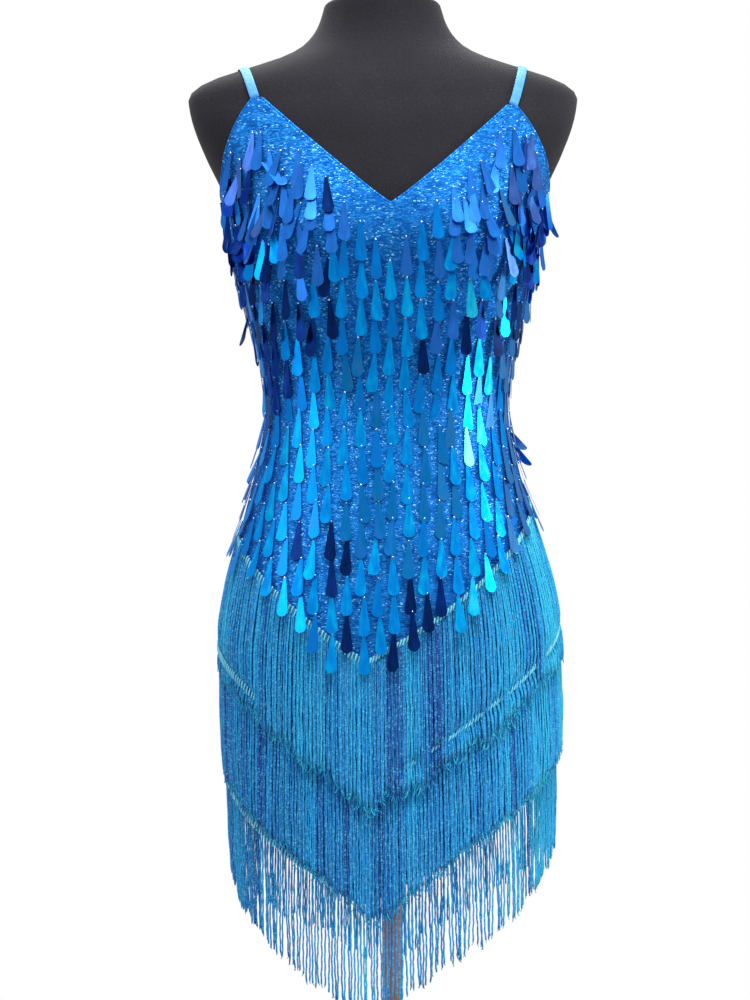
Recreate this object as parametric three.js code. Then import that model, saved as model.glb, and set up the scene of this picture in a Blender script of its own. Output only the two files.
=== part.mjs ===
// A flapper mini dress on a limbless dress form: a close-fitting V-neck slip of stretch cloth on thin shoulder straps,
// with three V-shaped tiers of hanging fringe, worn by a smooth torso form on a pole and a round base.
// Units are millimetres. +Z is up, the dress faces -Y, +X is to the right of someone who looks at the front.
// The floor is z = 0 and the pole stands on the Z axis.
import * as THREE from "three";

// ---------- Driving dimensions ----------
const CLOTH_EASE = 0.8; // from the body's surface to the inside of the cloth
const CLOTH_THICKNESS = 1.2;
const SEAM_GAP = 0.3; // between pieces that are sewn to each other
const SIDE_SEAM = 89.92; // degrees from the centre of a panel to its side edge

const NECKLINE = { depth: 1251, curve: 1.12 }; // the lowest point of the V, and how much its sides bow
// The top corner under each strap, its side edges in degrees; the dress hangs a little lower on the right.
const PEAKS = { left: { z: 1358, inner: 35.5, outer: 39.3 }, right: { z: 1349, inner: 33.7, outer: 37.4 } };
const ARMHOLE = { z: 1274, curve: 1.7 }; // the top of the side seam
const BACK_TOP = { centre: 1258, strap: 1288, inner: 34, outer: 37.2 }; // the upper edge of the back, angles in degrees

const STRAP = { width: 9, thickness: 1.2, ease: 0.95, segments: 18 };
const STRAP_CENTRE_Z = 1300; // the strap's points are found along rays from this height inside the shoulder
const STRAP_PATHS = {
  left: { frontX: 127, topX: 140.3, backX: 100.5 },
  right: { frontX: 121, topX: 138, backX: 100.5 },
};

// Each tier of fringe: its sewn line is lowest at the tip and climbs to the side seams. With no bow it is straight
// along the cloth, and with a bow of 1 it is straight as seen from the front.
const FRINGE_TIERS = [
  { name: "fringe_upper", tip: 815, tipAngle: -8, left: 940, right: 968, bow: 0.55, length: 143, stand: 4.2 },
  { name: "fringe_middle", tip: 701, tipAngle: -6, left: 829, right: 850, bow: 0.5, length: 143, stand: 4.2 },
  { name: "fringe_lower", tip: 590, tipAngle: -10, left: 712, right: 742, bow: 0, length: 109, stand: 2 },
];
const TAPE = { height: 6, thickness: 1.2, ease: 1, sideEdge: 89.9 }; // the woven head that each fringe hangs from
const LOCKS = { perHalf: 28, share: 0.62, segments: 2, uneven: 5 }; // share of each pitch that a lock fills

const FORM = { bottom: 727, top: 1466, edge: 9, columns: 40, slimmer: 1.6, slimFrom: 1384, slimTo: 1356, cupShare: 0.86 };
const POLE = { radius: 10, gap: 0.3 };
const BASE = { radius: 180, rim: 6, edge: 9, boss: 24, bossTop: 34, hubRadius: 60, hubTop: 13 };

// ---------- The body that the dress fits, as level sections from the neck to the hem ----------
const BODY = [
  { z: 1466, halfWidth: 57, front: 50, back: 62, power: 2.0 },
  { z: 1440, halfWidth: 66, front: 53, back: 66, power: 2.0 },
  { z: 1422, halfWidth: 81, front: 58, back: 72, power: 2.0 },
  { z: 1410, halfWidth: 103, front: 64, back: 76, power: 2.05 },
  { z: 1398, halfWidth: 139, front: 71, back: 80, power: 2.1 },
  { z: 1386, halfWidth: 175, front: 78, back: 83, power: 2.15 },
  { z: 1374, halfWidth: 193, front: 85, back: 86, power: 2.2 },
  { z: 1362, halfWidth: 195, front: 91, back: 89, power: 2.25 },
  { z: 1340, halfWidth: 190, front: 100, back: 92, power: 2.3 },
  { z: 1310, halfWidth: 178, front: 109, back: 95, power: 2.3 },
  { z: 1280, halfWidth: 164, front: 117, back: 97, power: 2.3 },
  { z: 1250, halfWidth: 156, front: 121, back: 97, power: 2.3 },
  { z: 1220, halfWidth: 151, front: 120, back: 96, power: 2.3 },
  { z: 1190, halfWidth: 145, front: 111, back: 94, power: 2.3 },
  { z: 1160, halfWidth: 137, front: 101, back: 92, power: 2.3 },
  { z: 1130, halfWidth: 129, front: 94, back: 89, power: 2.25 },
  { z: 1100, halfWidth: 122, front: 89, back: 87, power: 2.2 },
  { z: 1070, halfWidth: 119, front: 87, back: 87, power: 2.2 },
  { z: 1040, halfWidth: 121, front: 89, back: 90, power: 2.2 },
  { z: 1010, halfWidth: 127, front: 93, back: 96, power: 2.2 },
  { z: 980, halfWidth: 134, front: 98, back: 103, power: 2.2 },
  { z: 950, halfWidth: 142, front: 104, back: 110, power: 2.2 },
  { z: 920, halfWidth: 150, front: 110, back: 117, power: 2.2 },
  { z: 890, halfWidth: 157, front: 114, back: 122, power: 2.2 },
  { z: 860, halfWidth: 162, front: 117, back: 125, power: 2.2 },
  { z: 830, halfWidth: 165, front: 118, back: 126, power: 2.2 },
  { z: 800, halfWidth: 165, front: 118, back: 126, power: 2.2 },
  { z: 740, halfWidth: 162, front: 117, back: 124, power: 2.2 },
  { z: 680, halfWidth: 158, front: 115, back: 121, power: 2.2 },
  { z: 560, halfWidth: 154, front: 112, back: 117, power: 2.2 },
];
const CUP = { x: 76, z: 1218, depth: 15, wide: 42, above: 54, below: 36 }; // the two shaped cups of the bodice

const radians = THREE.MathUtils.degToRad;
const smooth = THREE.MathUtils.smoothstep;

// One measure of the body at height z, on a smooth curve through the sections.
function measure(key, z) {
  const last = BODY.length - 1;
  let i = BODY.findIndex((row) => row.z < z) - 1;
  if (z <= BODY[last].z) return BODY[last][key];
  if (i < 0) i = 0;
  const slope = (k) => {
    const upper = BODY[Math.max(k - 1, 0)];
    const lower = BODY[Math.min(k + 1, last)];
    return (upper[key] - lower[key]) / (upper.z - lower.z);
  };
  const [a, b] = [BODY[i], BODY[i + 1]];
  const h = b.z - a.z;
  const t = THREE.MathUtils.clamp((z - a.z) / h, 0, 1);
  return (
    a[key] * (1 + 2 * t) * (1 - t) ** 2 +
    slope(i) * h * t * (1 - t) ** 2 +
    b[key] * t * t * (3 - 2 * t) +
    slope(i + 1) * h * t * t * (t - 1)
  );
}

function section(z) {
  return {
    halfWidth: measure("halfWidth", z),
    front: measure("front", z),
    back: measure("back", z),
    power: measure("power", z),
  };
}

// How far a cup stands out from the plain section.
function cupDepth(x, z) {
  const across = (Math.abs(x) - CUP.x) / CUP.wide;
  const up = (z - CUP.z) / (z > CUP.z ? CUP.above : CUP.below);
  return CUP.depth * Math.exp(-across * across - up * up);
}

// A point of a section: angle 0 is the front, 90 the right side, 180 the back, in degrees.
function sectionPoint(angle, z, { halfWidth, front, back, power }, cupShare = 1) {
  const s = Math.sin(radians(angle));
  const c = Math.cos(radians(angle));
  const x = halfWidth * Math.sign(s) * Math.abs(s) ** (2 / power);
  const away = Math.abs(c) ** (2 / power);
  if (c < 0) return new THREE.Vector3(x, back * away, z);
  return new THREE.Vector3(x, -front * away - cupShare * cupDepth(x, z) * Math.min(1, 2 * away), z);
}

const bodyPoint = (angle, z) => sectionPoint(angle, z, section(z));

// A point at a distance out from the body's surface.
function skinPoint(angle, z, offset) {
  const turn = 0.5;
  const climb = 1;
  const along = bodyPoint(angle + turn, z).sub(bodyPoint(angle - turn, z));
  const up = bodyPoint(angle, z + climb).sub(bodyPoint(angle, z - climb));
  return bodyPoint(angle, z).addScaledVector(along.cross(up).normalize(), offset);
}

// ---------- Closed meshes ----------
// A closed surface from a list of points and of four-cornered faces, each listed anticlockwise from outside.
function closedMesh(points, quads) {
  const index = quads.flatMap(([a, b, c, d]) => [a, b, c, a, c, d]);
  const geometry = new THREE.BufferGeometry();
  geometry.setAttribute("position", new THREE.Float32BufferAttribute(points.flatMap((p) => p.toArray()), 3));
  geometry.setIndex(index);
  return geometry;
}

// A wall of cloth between an outer and an inner grid of points, with columns across and rows up.
function wall(columns, rows, outer, inner) {
  const points = [];
  const quads = [];
  const at = (side, i, j) => (side * columns + i) * rows + j;
  for (const face of [outer, inner]) {
    for (let i = 0; i < columns; i++) {
      for (let j = 0; j < rows; j++) points.push(face(i, j));
    }
  }
  for (let i = 0; i + 1 < columns; i++) {
    for (let j = 0; j + 1 < rows; j++) {
      quads.push([at(0, i, j), at(0, i + 1, j), at(0, i + 1, j + 1), at(0, i, j + 1)]);
      quads.push([at(1, i, j), at(1, i, j + 1), at(1, i + 1, j + 1), at(1, i + 1, j)]);
    }
    quads.push([at(1, i, 0), at(1, i + 1, 0), at(0, i + 1, 0), at(0, i, 0)]);
    const top = rows - 1;
    quads.push([at(0, i, top), at(0, i + 1, top), at(1, i + 1, top), at(1, i, top)]);
  }
  for (let j = 0; j + 1 < rows; j++) {
    const end = columns - 1;
    quads.push([at(1, 0, j), at(0, 0, j), at(0, 0, j + 1), at(1, 0, j + 1)]);
    quads.push([at(0, end, j), at(1, end, j), at(1, end, j + 1), at(0, end, j + 1)]);
  }
  return closedMesh(points, quads);
}

// ---------- The lines that the cloth is cut and sewn along ----------
// The sewn line of a tier at an angle; the back repeats the front with its tip in the middle.
function tierHeight(tier, angle) {
  const onBack = Math.abs(angle) > 90;
  const turned = onBack ? 180 - Math.abs(angle) : Math.abs(angle);
  const signed = Math.sign(angle) * turned;
  const tip = onBack ? 0 : tier.tipAngle;
  const side = signed < tip ? tier.left : tier.right;
  const t = signed < tip ? (tip - signed) / (90 + tip) : (signed - tip) / (90 - tip);
  const climb = (1 - tier.bow) * t + tier.bow * Math.sin((t * Math.PI) / 2);
  return tier.tip + (side - tier.tip) * climb;
}

// The same direction as an angle from -180 to 180.
const fromFront = (angle) => (angle > 180 ? angle - 360 : angle);

const hemHeight = (angle) => tierHeight(FRINGE_TIERS[2], angle) - TAPE.height / 2;

function frontTop(angle) {
  const turned = Math.abs(angle);
  const peak = angle < 0 ? PEAKS.left : PEAKS.right;
  if (turned >= peak.outer) {
    const t = (turned - peak.outer) / (SIDE_SEAM - peak.outer);
    return ARMHOLE.z + (peak.z - ARMHOLE.z) * (1 - Math.min(t, 1)) ** ARMHOLE.curve;
  }
  if (turned >= peak.inner) return peak.z;
  const peakX = bodyPoint(peak.inner, peak.z).x;
  let z = NECKLINE.depth;
  for (let step = 0; step < 20; step++) {
    z = NECKLINE.depth + (peak.z - NECKLINE.depth) * (bodyPoint(turned, z).x / peakX) ** NECKLINE.curve;
  }
  return z;
}

function backTop(angle) {
  const turned = 180 - Math.abs(angle);
  const { centre, strap, inner, outer } = BACK_TOP;
  if (turned >= outer) return strap + (ARMHOLE.z - strap) * smooth(turned, outer, SIDE_SEAM);
  return centre + (strap - centre) * smooth(turned, 0, inner);
}

// ---------- Dress panels ----------
// Columns of a panel, in degrees from its middle, closer together at the strap corner.
const frontColumns = (peak) => [0, 5, 11, 17, 23, 28.5, peak.inner, peak.outer, 46, 54, 63, 72, 81, SIDE_SEAM];
const BACK_COLUMNS = [0, 8, 16, 25, BACK_TOP.inner, BACK_TOP.outer, 45, 54, 63, 72, 81, SIDE_SEAM];
const bothSides = (left, right) => [...left.slice(1).reverse().map((angle) => -angle), ...right];

// Rows of a panel from hem to top edge, as shares of its height, closer together over the cups.
function rowShares(lower, upper, split) {
  const shares = [];
  for (let j = 0; j < lower; j++) shares.push((split * j) / lower);
  for (let j = 0; j <= upper; j++) shares.push(split + ((1 - split) * j) / upper);
  return shares;
}

function panel(angles, shares, top) {
  const point = (offset) => (i, j) => {
    const low = hemHeight(fromFront(angles[i]));
    return skinPoint(angles[i], low + (top(angles[i]) - low) * shares[j], offset);
  };
  return wall(angles.length, shares.length, point(CLOTH_EASE + CLOTH_THICKNESS), point(CLOTH_EASE));
}

function dressFront() {
  return panel(bothSides(frontColumns(PEAKS.left), frontColumns(PEAKS.right)), rowShares(12, 14, 0.62), frontTop);
}

function dressBack() {
  const angles = bothSides(BACK_COLUMNS, BACK_COLUMNS).map((angle) => angle + 180);
  return panel(angles, rowShares(12, 9, 0.66), (angle) => backTop(fromFront(angle)));
}

// ---------- Shoulder straps ----------
// Positive outside the body, for points above the waist.
function outsideness(x, y, z) {
  const { halfWidth, front, back, power } = section(z);
  const depth = y < 0 ? front : back;
  const above = Math.max(0, z - BODY[0].z);
  return (Math.abs(x) / halfWidth) ** power + (Math.abs(y) / depth) ** power - 1 + above;
}

function outwardAt({ x, y, z }) {
  const d = 0.5;
  return new THREE.Vector3(
    outsideness(x + d, y, z) - outsideness(x - d, y, z),
    outsideness(x, y + d, z) - outsideness(x, y - d, z),
    outsideness(x, y, z + d) - outsideness(x, y, z - d),
  ).normalize();
}

// The surface point over the shoulder at a turn from straight up, negative towards the front, in degrees.
function shoulderPoint(x, turn) {
  const ray = new THREE.Vector3(0, Math.sin(radians(turn)), Math.cos(radians(turn)));
  const centre = new THREE.Vector3(x, 0, STRAP_CENTRE_Z);
  let [near, far] = [0, 200];
  for (let step = 0; step < 40; step++) {
    const middle = (near + far) / 2;
    const p = centre.clone().addScaledVector(ray, middle);
    if (outsideness(p.x, p.y, p.z) < 0) near = middle;
    else far = middle;
  }
  return centre.addScaledVector(ray, near);
}

// The turn at which the strap's line comes down to a height on the front or the back.
function turnAtHeight(x, z, limit) {
  let [high, low] = [0, limit];
  for (let step = 0; step < 40; step++) {
    const middle = (high + low) / 2;
    if (shoulderPoint(x, middle).z > z) high = middle;
    else low = middle;
  }
  return high;
}

function strap(side) {
  const { frontX, topX, backX } = side < 0 ? STRAP_PATHS.left : STRAP_PATHS.right;
  const peak = side < 0 ? PEAKS.left : PEAKS.right;
  const first = turnAtHeight(frontX, peak.z + SEAM_GAP, -90);
  const last = turnAtHeight(backX, BACK_TOP.strap + SEAM_GAP, 110);
  const centreLine = [];
  for (let k = 0; k <= STRAP.segments; k++) {
    const turn = first + ((last - first) * k) / STRAP.segments;
    const endX = turn < 0 ? frontX : backX;
    const reach = turn < 0 ? turn / first : turn / last;
    centreLine.push(shoulderPoint(topX + (endX - topX) * reach * reach, turn));
  }
  const ease = (k) => {
    const fromEnd = Math.min(k, STRAP.segments - k) / 3;
    return CLOTH_EASE + (STRAP.ease - CLOTH_EASE) * Math.min(1, fromEnd);
  };
  // The ends are cut to the corners that they are sewn to.
  const sewnEnd = (angle, z, lift) => skinPoint(angle, z + SEAM_GAP, CLOTH_EASE + lift);
  const between = (i, k, lift) => {
    const along = centreLine[k + 1].clone().sub(centreLine[k - 1]).normalize();
    const out = outwardAt(centreLine[k]);
    const across = along.cross(out).normalize();
    const p = centreLine[k].clone().addScaledVector(out, ease(k) + lift);
    return p.addScaledVector(across, (i - 0.5) * STRAP.width);
  };
  const point = (lift) => (i, k) => {
    const edge = i === 0 ? "inner" : "outer";
    let p;
    if (k === 0) p = sewnEnd(peak[edge], peak.z, lift);
    else if (k === STRAP.segments) p = sewnEnd(180 - BACK_TOP[edge], BACK_TOP.strap, lift);
    else p = between(i, k, lift);
    return p.setX(p.x * side);
  };
  const columns = 2;
  const [outer, inner] = [point(STRAP.thickness), point(0)];
  const ordered = (face) => (side < 0 ? (i, k) => face(1 - i, k) : face);
  return wall(columns, STRAP.segments + 1, ordered(outer), ordered(inner));
}

// ---------- Fringe ----------
// An even-looking but irregular number from 0 to 1 for a whole number.
const scatter = (n) => Math.abs(Math.sin(n * 12.9898 + 4.1) * 43758.5453) % 1;

// A point of a hanging lock: it follows the body down to its widest level and then falls straight.
function hangingPoint(angle, zRoot, z, offset) {
  const steps = 8;
  const widest = section(z);
  for (let k = 0; k <= steps; k++) {
    const above = section(z + ((zRoot - z) * k) / steps);
    for (const key of ["halfWidth", "front", "back"]) widest[key] = Math.max(widest[key], above[key]);
  }
  for (const key of ["halfWidth", "front", "back"]) widest[key] += offset;
  return sectionPoint(angle, z, widest);
}

// Half a tier: a tape on the cloth with locks that hang from its lower edge, all one solid.
function fringe(tier, middle, seed) {
  const { perHalf, share, segments, uneven } = LOCKS;
  const pitch = (2 * TAPE.sideEdge) / (perHalf - 1 + share);
  const tapeInner = CLOTH_EASE + CLOTH_THICKNESS + TAPE.ease;
  const points = [];
  const quads = [];
  const ring = (make) => {
    const start = points.length;
    make(points);
    return start;
  };
  // Four tape corners at one angle: lower outer, lower inner, upper inner, upper outer.
  const tapeCorners = (angle) =>
    ring((list) => {
      const zLine = tierHeight(tier, fromFront(angle));
      for (const [up, out] of [[-0.5, 1], [-0.5, 0], [0.5, 0], [0.5, 1]]) {
        list.push(skinPoint(angle, zLine + up * TAPE.height, tapeInner + out * TAPE.thickness));
      }
    });
  let previous = null;
  for (let n = 0; n < perHalf; n++) {
    const leftAngle = middle - TAPE.sideEdge + n * pitch;
    const rightAngle = leftAngle + share * pitch;
    const [left, right] = [tapeCorners(leftAngle), tapeCorners(rightAngle)];
    if (previous === null) quads.push([left, left + 3, left + 2, left + 1]);
    else {
      quads.push([previous, left, left + 3, previous + 3]);
      quads.push([previous + 1, previous + 2, left + 2, left + 1]);
      quads.push([previous + 3, left + 3, left + 2, previous + 2]);
      quads.push([previous, previous + 1, left + 1, left]);
    }
    quads.push([left, right, right + 3, left + 3]);
    quads.push([left + 1, left + 2, right + 2, right + 1]);
    quads.push([left + 3, right + 3, right + 2, left + 2]);
    // The lock: rings of outer left, outer right, inner right and inner left corners, down to its end.
    let upper = [left, right, right + 1, left + 1];
    const zRoot = Math.max(points[left].z, points[right].z);
    const length = tier.length - uneven * scatter(seed + n);
    for (let k = 1; k <= segments; k++) {
      const fall = k / segments;
      const away = tapeInner + tier.stand * Math.min(1, 1.5 * fall);
      const narrow = 0.18 * fall * share * pitch;
      const start = ring((list) => {
        for (const [angle, out] of [
          [leftAngle + narrow, TAPE.thickness],
          [rightAngle - narrow, TAPE.thickness],
          [rightAngle - narrow, 0],
          [leftAngle + narrow, 0],
        ]) {
          list.push(hangingPoint(angle, zRoot, tierHeight(tier, fromFront(angle)) - length * fall, away + out));
        }
      });
      const lower = [start, start + 1, start + 2, start + 3];
      for (let c = 0; c < 4; c++) {
        const next = (c + 1) % 4;
        quads.push([upper[c], lower[c], lower[next], upper[next]]);
      }
      upper = lower;
    }
    quads.push([upper[3], upper[2], upper[1], upper[0]]);
    previous = right;
  }
  quads.push([previous, previous + 1, previous + 2, previous + 3]);
  return closedMesh(points, quads);
}

// ---------- Dress form and stand ----------
// The heights of the form's level rings, twice as close where the cups curve.
function formHeights() {
  const heights = [FORM.bottom + FORM.edge];
  const inside = (z) => z > FORM.bottom + FORM.edge && z < FORM.top - FORM.edge / 2;
  const cupReach = 1.7 * CUP.above;
  for (let i = BODY.length - 1; i > 0; i--) {
    const half = (BODY[i].z + BODY[i - 1].z) / 2;
    if (inside(BODY[i].z)) heights.push(BODY[i].z);
    if (Math.abs(half - CUP.z) < cupReach) heights.push(half);
  }
  return heights;
}

function formTorso() {
  const slim = (z) => FORM.slimmer * smooth(FORM.slimFrom + FORM.slimTo - z, FORM.slimTo, FORM.slimFrom);
  const levels = [{ z: FORM.bottom, inset: FORM.edge }];
  levels.push({ z: FORM.bottom + FORM.edge / 3, inset: FORM.edge / 3 });
  for (const z of formHeights()) levels.push({ z, inset: 0 });
  levels.push({ z: FORM.top - FORM.edge / 2, inset: 0 });
  levels.push({ z: FORM.top, inset: FORM.edge / 2 });
  const points = [];
  const index = [];
  for (const { z, inset } of levels) {
    const ring = section(z);
    for (const key of ["halfWidth", "front", "back"]) ring[key] -= inset + slim(z);
    for (let i = 0; i < FORM.columns; i++) {
      points.push(sectionPoint((360 * i) / FORM.columns, z, ring, FORM.cupShare));
    }
  }
  const low = points.push(new THREE.Vector3(0, 0, FORM.bottom)) - 1;
  const high = points.push(new THREE.Vector3(0, 0, FORM.top)) - 1;
  for (let i = 0; i < FORM.columns; i++) {
    const next = (i + 1) % FORM.columns;
    for (let j = 0; j + 1 < levels.length; j++) {
      const [a, b] = [j * FORM.columns + i, j * FORM.columns + next];
      index.push(a, b, b + FORM.columns, a, b + FORM.columns, a + FORM.columns);
    }
    const top = (levels.length - 1) * FORM.columns;
    index.push(low, next, i, high, top + i, top + next);
  }
  const geometry = new THREE.BufferGeometry();
  geometry.setAttribute("position", new THREE.Float32BufferAttribute(points.flatMap((p) => p.toArray()), 3));
  geometry.setIndex(index);
  return geometry;
}

function standBase() {
  const { radius, rim, edge, boss, bossTop, hubRadius, hubTop } = BASE;
  const profile = [
    [0, 0],
    [radius - rim / 3, 0],
    [radius, rim / 3],
    [radius, edge - rim / 3],
    [radius - rim / 3, edge],
    [hubRadius, hubTop],
    [boss, hubTop + rim],
    [boss - rim / 2, bossTop],
    [0, bossTop],
  ];
  const around = 40;
  return new THREE.LatheGeometry(profile.map(([r, z]) => new THREE.Vector2(r, z)), around).rotateX(Math.PI / 2);
}

function standPole() {
  const low = BASE.bossTop + POLE.gap;
  const high = FORM.bottom - POLE.gap;
  const around = 20;
  return new THREE.CylinderGeometry(POLE.radius, POLE.radius, high - low, around)
    .rotateX(Math.PI / 2)
    .translate(0, 0, (high + low) / 2);
}

// ---------- Materials ----------
const finish = (color, roughness, metalness = 0) => new THREE.MeshStandardMaterial({ color, roughness, metalness });
const glitterCloth = finish("#1c6fc4", 0.45, 0.2);
const strapElastic = finish("#55b4f2", 0.5);
const fringeYarn = finish("#2384bd", 0.6);
const formJersey = finish("#33323a", 0.9);
const standSteel = finish("#8d8a88", 0.3, 1);
const basePaint = finish("#24242a", 0.4);

// ---------- The object ----------
const dress = new THREE.Group();

function add(name, geometry, material) {
  const mesh = new THREE.Mesh(geometry, material);
  mesh.name = name;
  dress.add(mesh);
}

add("dress_front", dressFront(), glitterCloth);
add("dress_back", dressBack(), glitterCloth);
add("strap_left", strap(-1), strapElastic);
add("strap_right", strap(1), strapElastic);
FRINGE_TIERS.forEach((tier, n) => {
  add(`${tier.name}_front`, fringe(tier, 0, 100 * n), fringeYarn);
  add(`${tier.name}_back`, fringe(tier, 180, 100 * n + 50), fringeYarn);
});
add("form_torso", formTorso(), formJersey);
add("stand_pole", standPole(), standSteel);
add("stand_base", standBase(), basePaint);

export default dress;
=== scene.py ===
import math

import bpy
import numpy as np
from mathutils import Matrix, Vector

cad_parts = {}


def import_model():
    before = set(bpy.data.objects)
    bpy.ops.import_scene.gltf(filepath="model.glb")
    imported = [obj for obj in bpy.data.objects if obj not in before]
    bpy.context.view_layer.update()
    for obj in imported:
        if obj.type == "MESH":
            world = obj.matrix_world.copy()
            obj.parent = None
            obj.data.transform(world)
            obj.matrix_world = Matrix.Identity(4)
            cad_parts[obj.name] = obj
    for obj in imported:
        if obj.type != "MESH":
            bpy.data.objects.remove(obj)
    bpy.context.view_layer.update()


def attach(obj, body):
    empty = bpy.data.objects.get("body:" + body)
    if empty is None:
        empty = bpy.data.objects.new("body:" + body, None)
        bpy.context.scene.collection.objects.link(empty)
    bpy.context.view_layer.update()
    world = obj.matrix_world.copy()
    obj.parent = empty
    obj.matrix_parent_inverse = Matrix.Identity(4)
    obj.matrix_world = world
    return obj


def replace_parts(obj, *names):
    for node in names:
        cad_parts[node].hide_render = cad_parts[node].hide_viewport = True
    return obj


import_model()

MM = 0.001

# ---------- Sizes shared with the solids ----------
CLOTH_EASE = 0.8
CLOTH_THICKNESS = 1.2
CLOTH_TOP = CLOTH_EASE + CLOTH_THICKNESS
SIDE_SEAM = 89.92
NECKLINE = dict(depth=1251, curve=1.12)
PEAKS = dict(left=dict(z=1358, inner=35.5, outer=39.3), right=dict(z=1349, inner=33.7, outer=37.4))
ARMHOLE = dict(z=1274, curve=1.7)
BACK_TOP = dict(centre=1258, strap=1288, inner=34, outer=37.2)
STRAP = dict(half_width=4.5, half_thickness=0.6, ease=0.95, sides=16, points=60)
STRAP_CENTRE_Z = 1300
STRAP_PATHS = dict(
    left=dict(front_x=127, top_x=140.3, back_x=100.5),
    right=dict(front_x=121, top_x=138, back_x=100.5),
)
TIERS = dict(
    upper=dict(tip=815, tip_angle=-8, left=940, right=968, bow=0.55, length=143, stand=4.2),
    middle=dict(tip=701, tip_angle=-6, left=829, right=850, bow=0.5, length=143, stand=4.2),
    lower=dict(tip=590, tip_angle=-10, left=712, right=742, bow=0, length=109, stand=2),
)
TAPE = dict(half_width=3, half_thickness=0.6, ease=1, sides=10, side_edge=89.9, points=240)
FORM = dict(bottom=727, top=1466, edge=9, slimmer=1.6, slim_from=1384, slim_to=1356, cup_share=0.86)
POLE = dict(radius=10, gap=0.3)
BASE = dict(radius=180, rim=6, edge=9, boss=24, boss_top=34, hub_radius=60, hub_top=13)
CUP = dict(x=76, z=1218, depth=15, wide=42, above=54, below=36)

# The body that the dress fits, as level sections.
BODY_COLUMNS = ("z", "half_width", "front", "back", "power")
BODY = np.array(
    [
        (560, 154, 112, 117, 2.2),
        (680, 158, 115, 121, 2.2),
        (740, 162, 117, 124, 2.2),
        (800, 165, 118, 126, 2.2),
        (830, 165, 118, 126, 2.2),
        (860, 162, 117, 125, 2.2),
        (890, 157, 114, 122, 2.2),
        (920, 150, 110, 117, 2.2),
        (950, 142, 104, 110, 2.2),
        (980, 134, 98, 103, 2.2),
        (1010, 127, 93, 96, 2.2),
        (1040, 121, 89, 90, 2.2),
        (1070, 119, 87, 87, 2.2),
        (1100, 122, 89, 87, 2.2),
        (1130, 129, 94, 89, 2.25),
        (1160, 137, 101, 92, 2.3),
        (1190, 145, 111, 94, 2.3),
        (1220, 151, 120, 96, 2.3),
        (1250, 156, 121, 97, 2.3),
        (1280, 164, 117, 97, 2.3),
        (1310, 178, 109, 95, 2.3),
        (1340, 190, 100, 92, 2.3),
        (1362, 195, 91, 89, 2.25),
        (1374, 193, 85, 86, 2.2),
        (1386, 175, 78, 83, 2.15),
        (1398, 139, 71, 80, 2.1),
        (1410, 103, 64, 76, 2.05),
        (1422, 81, 58, 72, 2.0),
        (1440, 66, 53, 66, 2.0),
        (1466, 57, 50, 62, 2.0),
    ],
    dtype=float,
)


def section(z):
    """The body's measures at heights z, on smooth curves through the sections."""
    z = np.asarray(z, dtype=float)
    heights = BODY[:, 0]
    last = len(heights) - 1
    at = np.clip(z, heights[0], heights[-1])
    i = np.clip(np.searchsorted(heights, at, side="right") - 1, 0, last - 1)
    h = heights[i + 1] - heights[i]
    t = (at - heights[i]) / h
    ring = {}
    for column, name in enumerate(BODY_COLUMNS[1:], start=1):
        values = BODY[:, column]
        before = np.maximum(np.arange(last + 1) - 1, 0)
        after = np.minimum(np.arange(last + 1) + 1, last)
        slopes = (values[after] - values[before]) / (heights[after] - heights[before])
        ring[name] = (
            values[i] * (1 + 2 * t) * (1 - t) ** 2
            + slopes[i] * h * t * (1 - t) ** 2
            + values[i + 1] * t * t * (3 - 2 * t)
            + slopes[i + 1] * h * t * t * (t - 1)
        )
    return ring


def section_point(angle, z, ring, cup_share=1.0):
    """Points of level sections, with the bodice's cups standing out at the front."""
    angle, z = np.broadcast_arrays(np.asarray(angle, dtype=float), np.asarray(z, dtype=float))
    s = np.sin(np.radians(angle))
    c = np.cos(np.radians(angle))
    x = ring["half_width"] * np.sign(s) * np.abs(s) ** (2 / ring["power"])
    away = np.abs(c) ** (2 / ring["power"])
    across = (np.abs(x) - CUP["x"]) / CUP["wide"]
    up = (z - CUP["z"]) / np.where(z > CUP["z"], CUP["above"], CUP["below"])
    cup = cup_share * CUP["depth"] * np.exp(-across * across - up * up) * np.minimum(1, 2 * away)
    y = np.where(c < 0, ring["back"] * away, -ring["front"] * away - cup)
    return np.stack([x, y, z], axis=-1)


def body_point(angle, z):
    return section_point(angle, z, section(z))


UP = np.array([0.0, 0.0, 1.0])


def unit(vectors):
    return vectors / np.maximum(np.linalg.norm(vectors, axis=-1, keepdims=True), 1e-9)


def outward(angle, z):
    along = body_point(np.asarray(angle) + 0.5, z) - body_point(np.asarray(angle) - 0.5, z)
    up = body_point(angle, np.asarray(z) + 1.0) - body_point(angle, np.asarray(z) - 1.0)
    return unit(np.cross(along, up))


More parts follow.
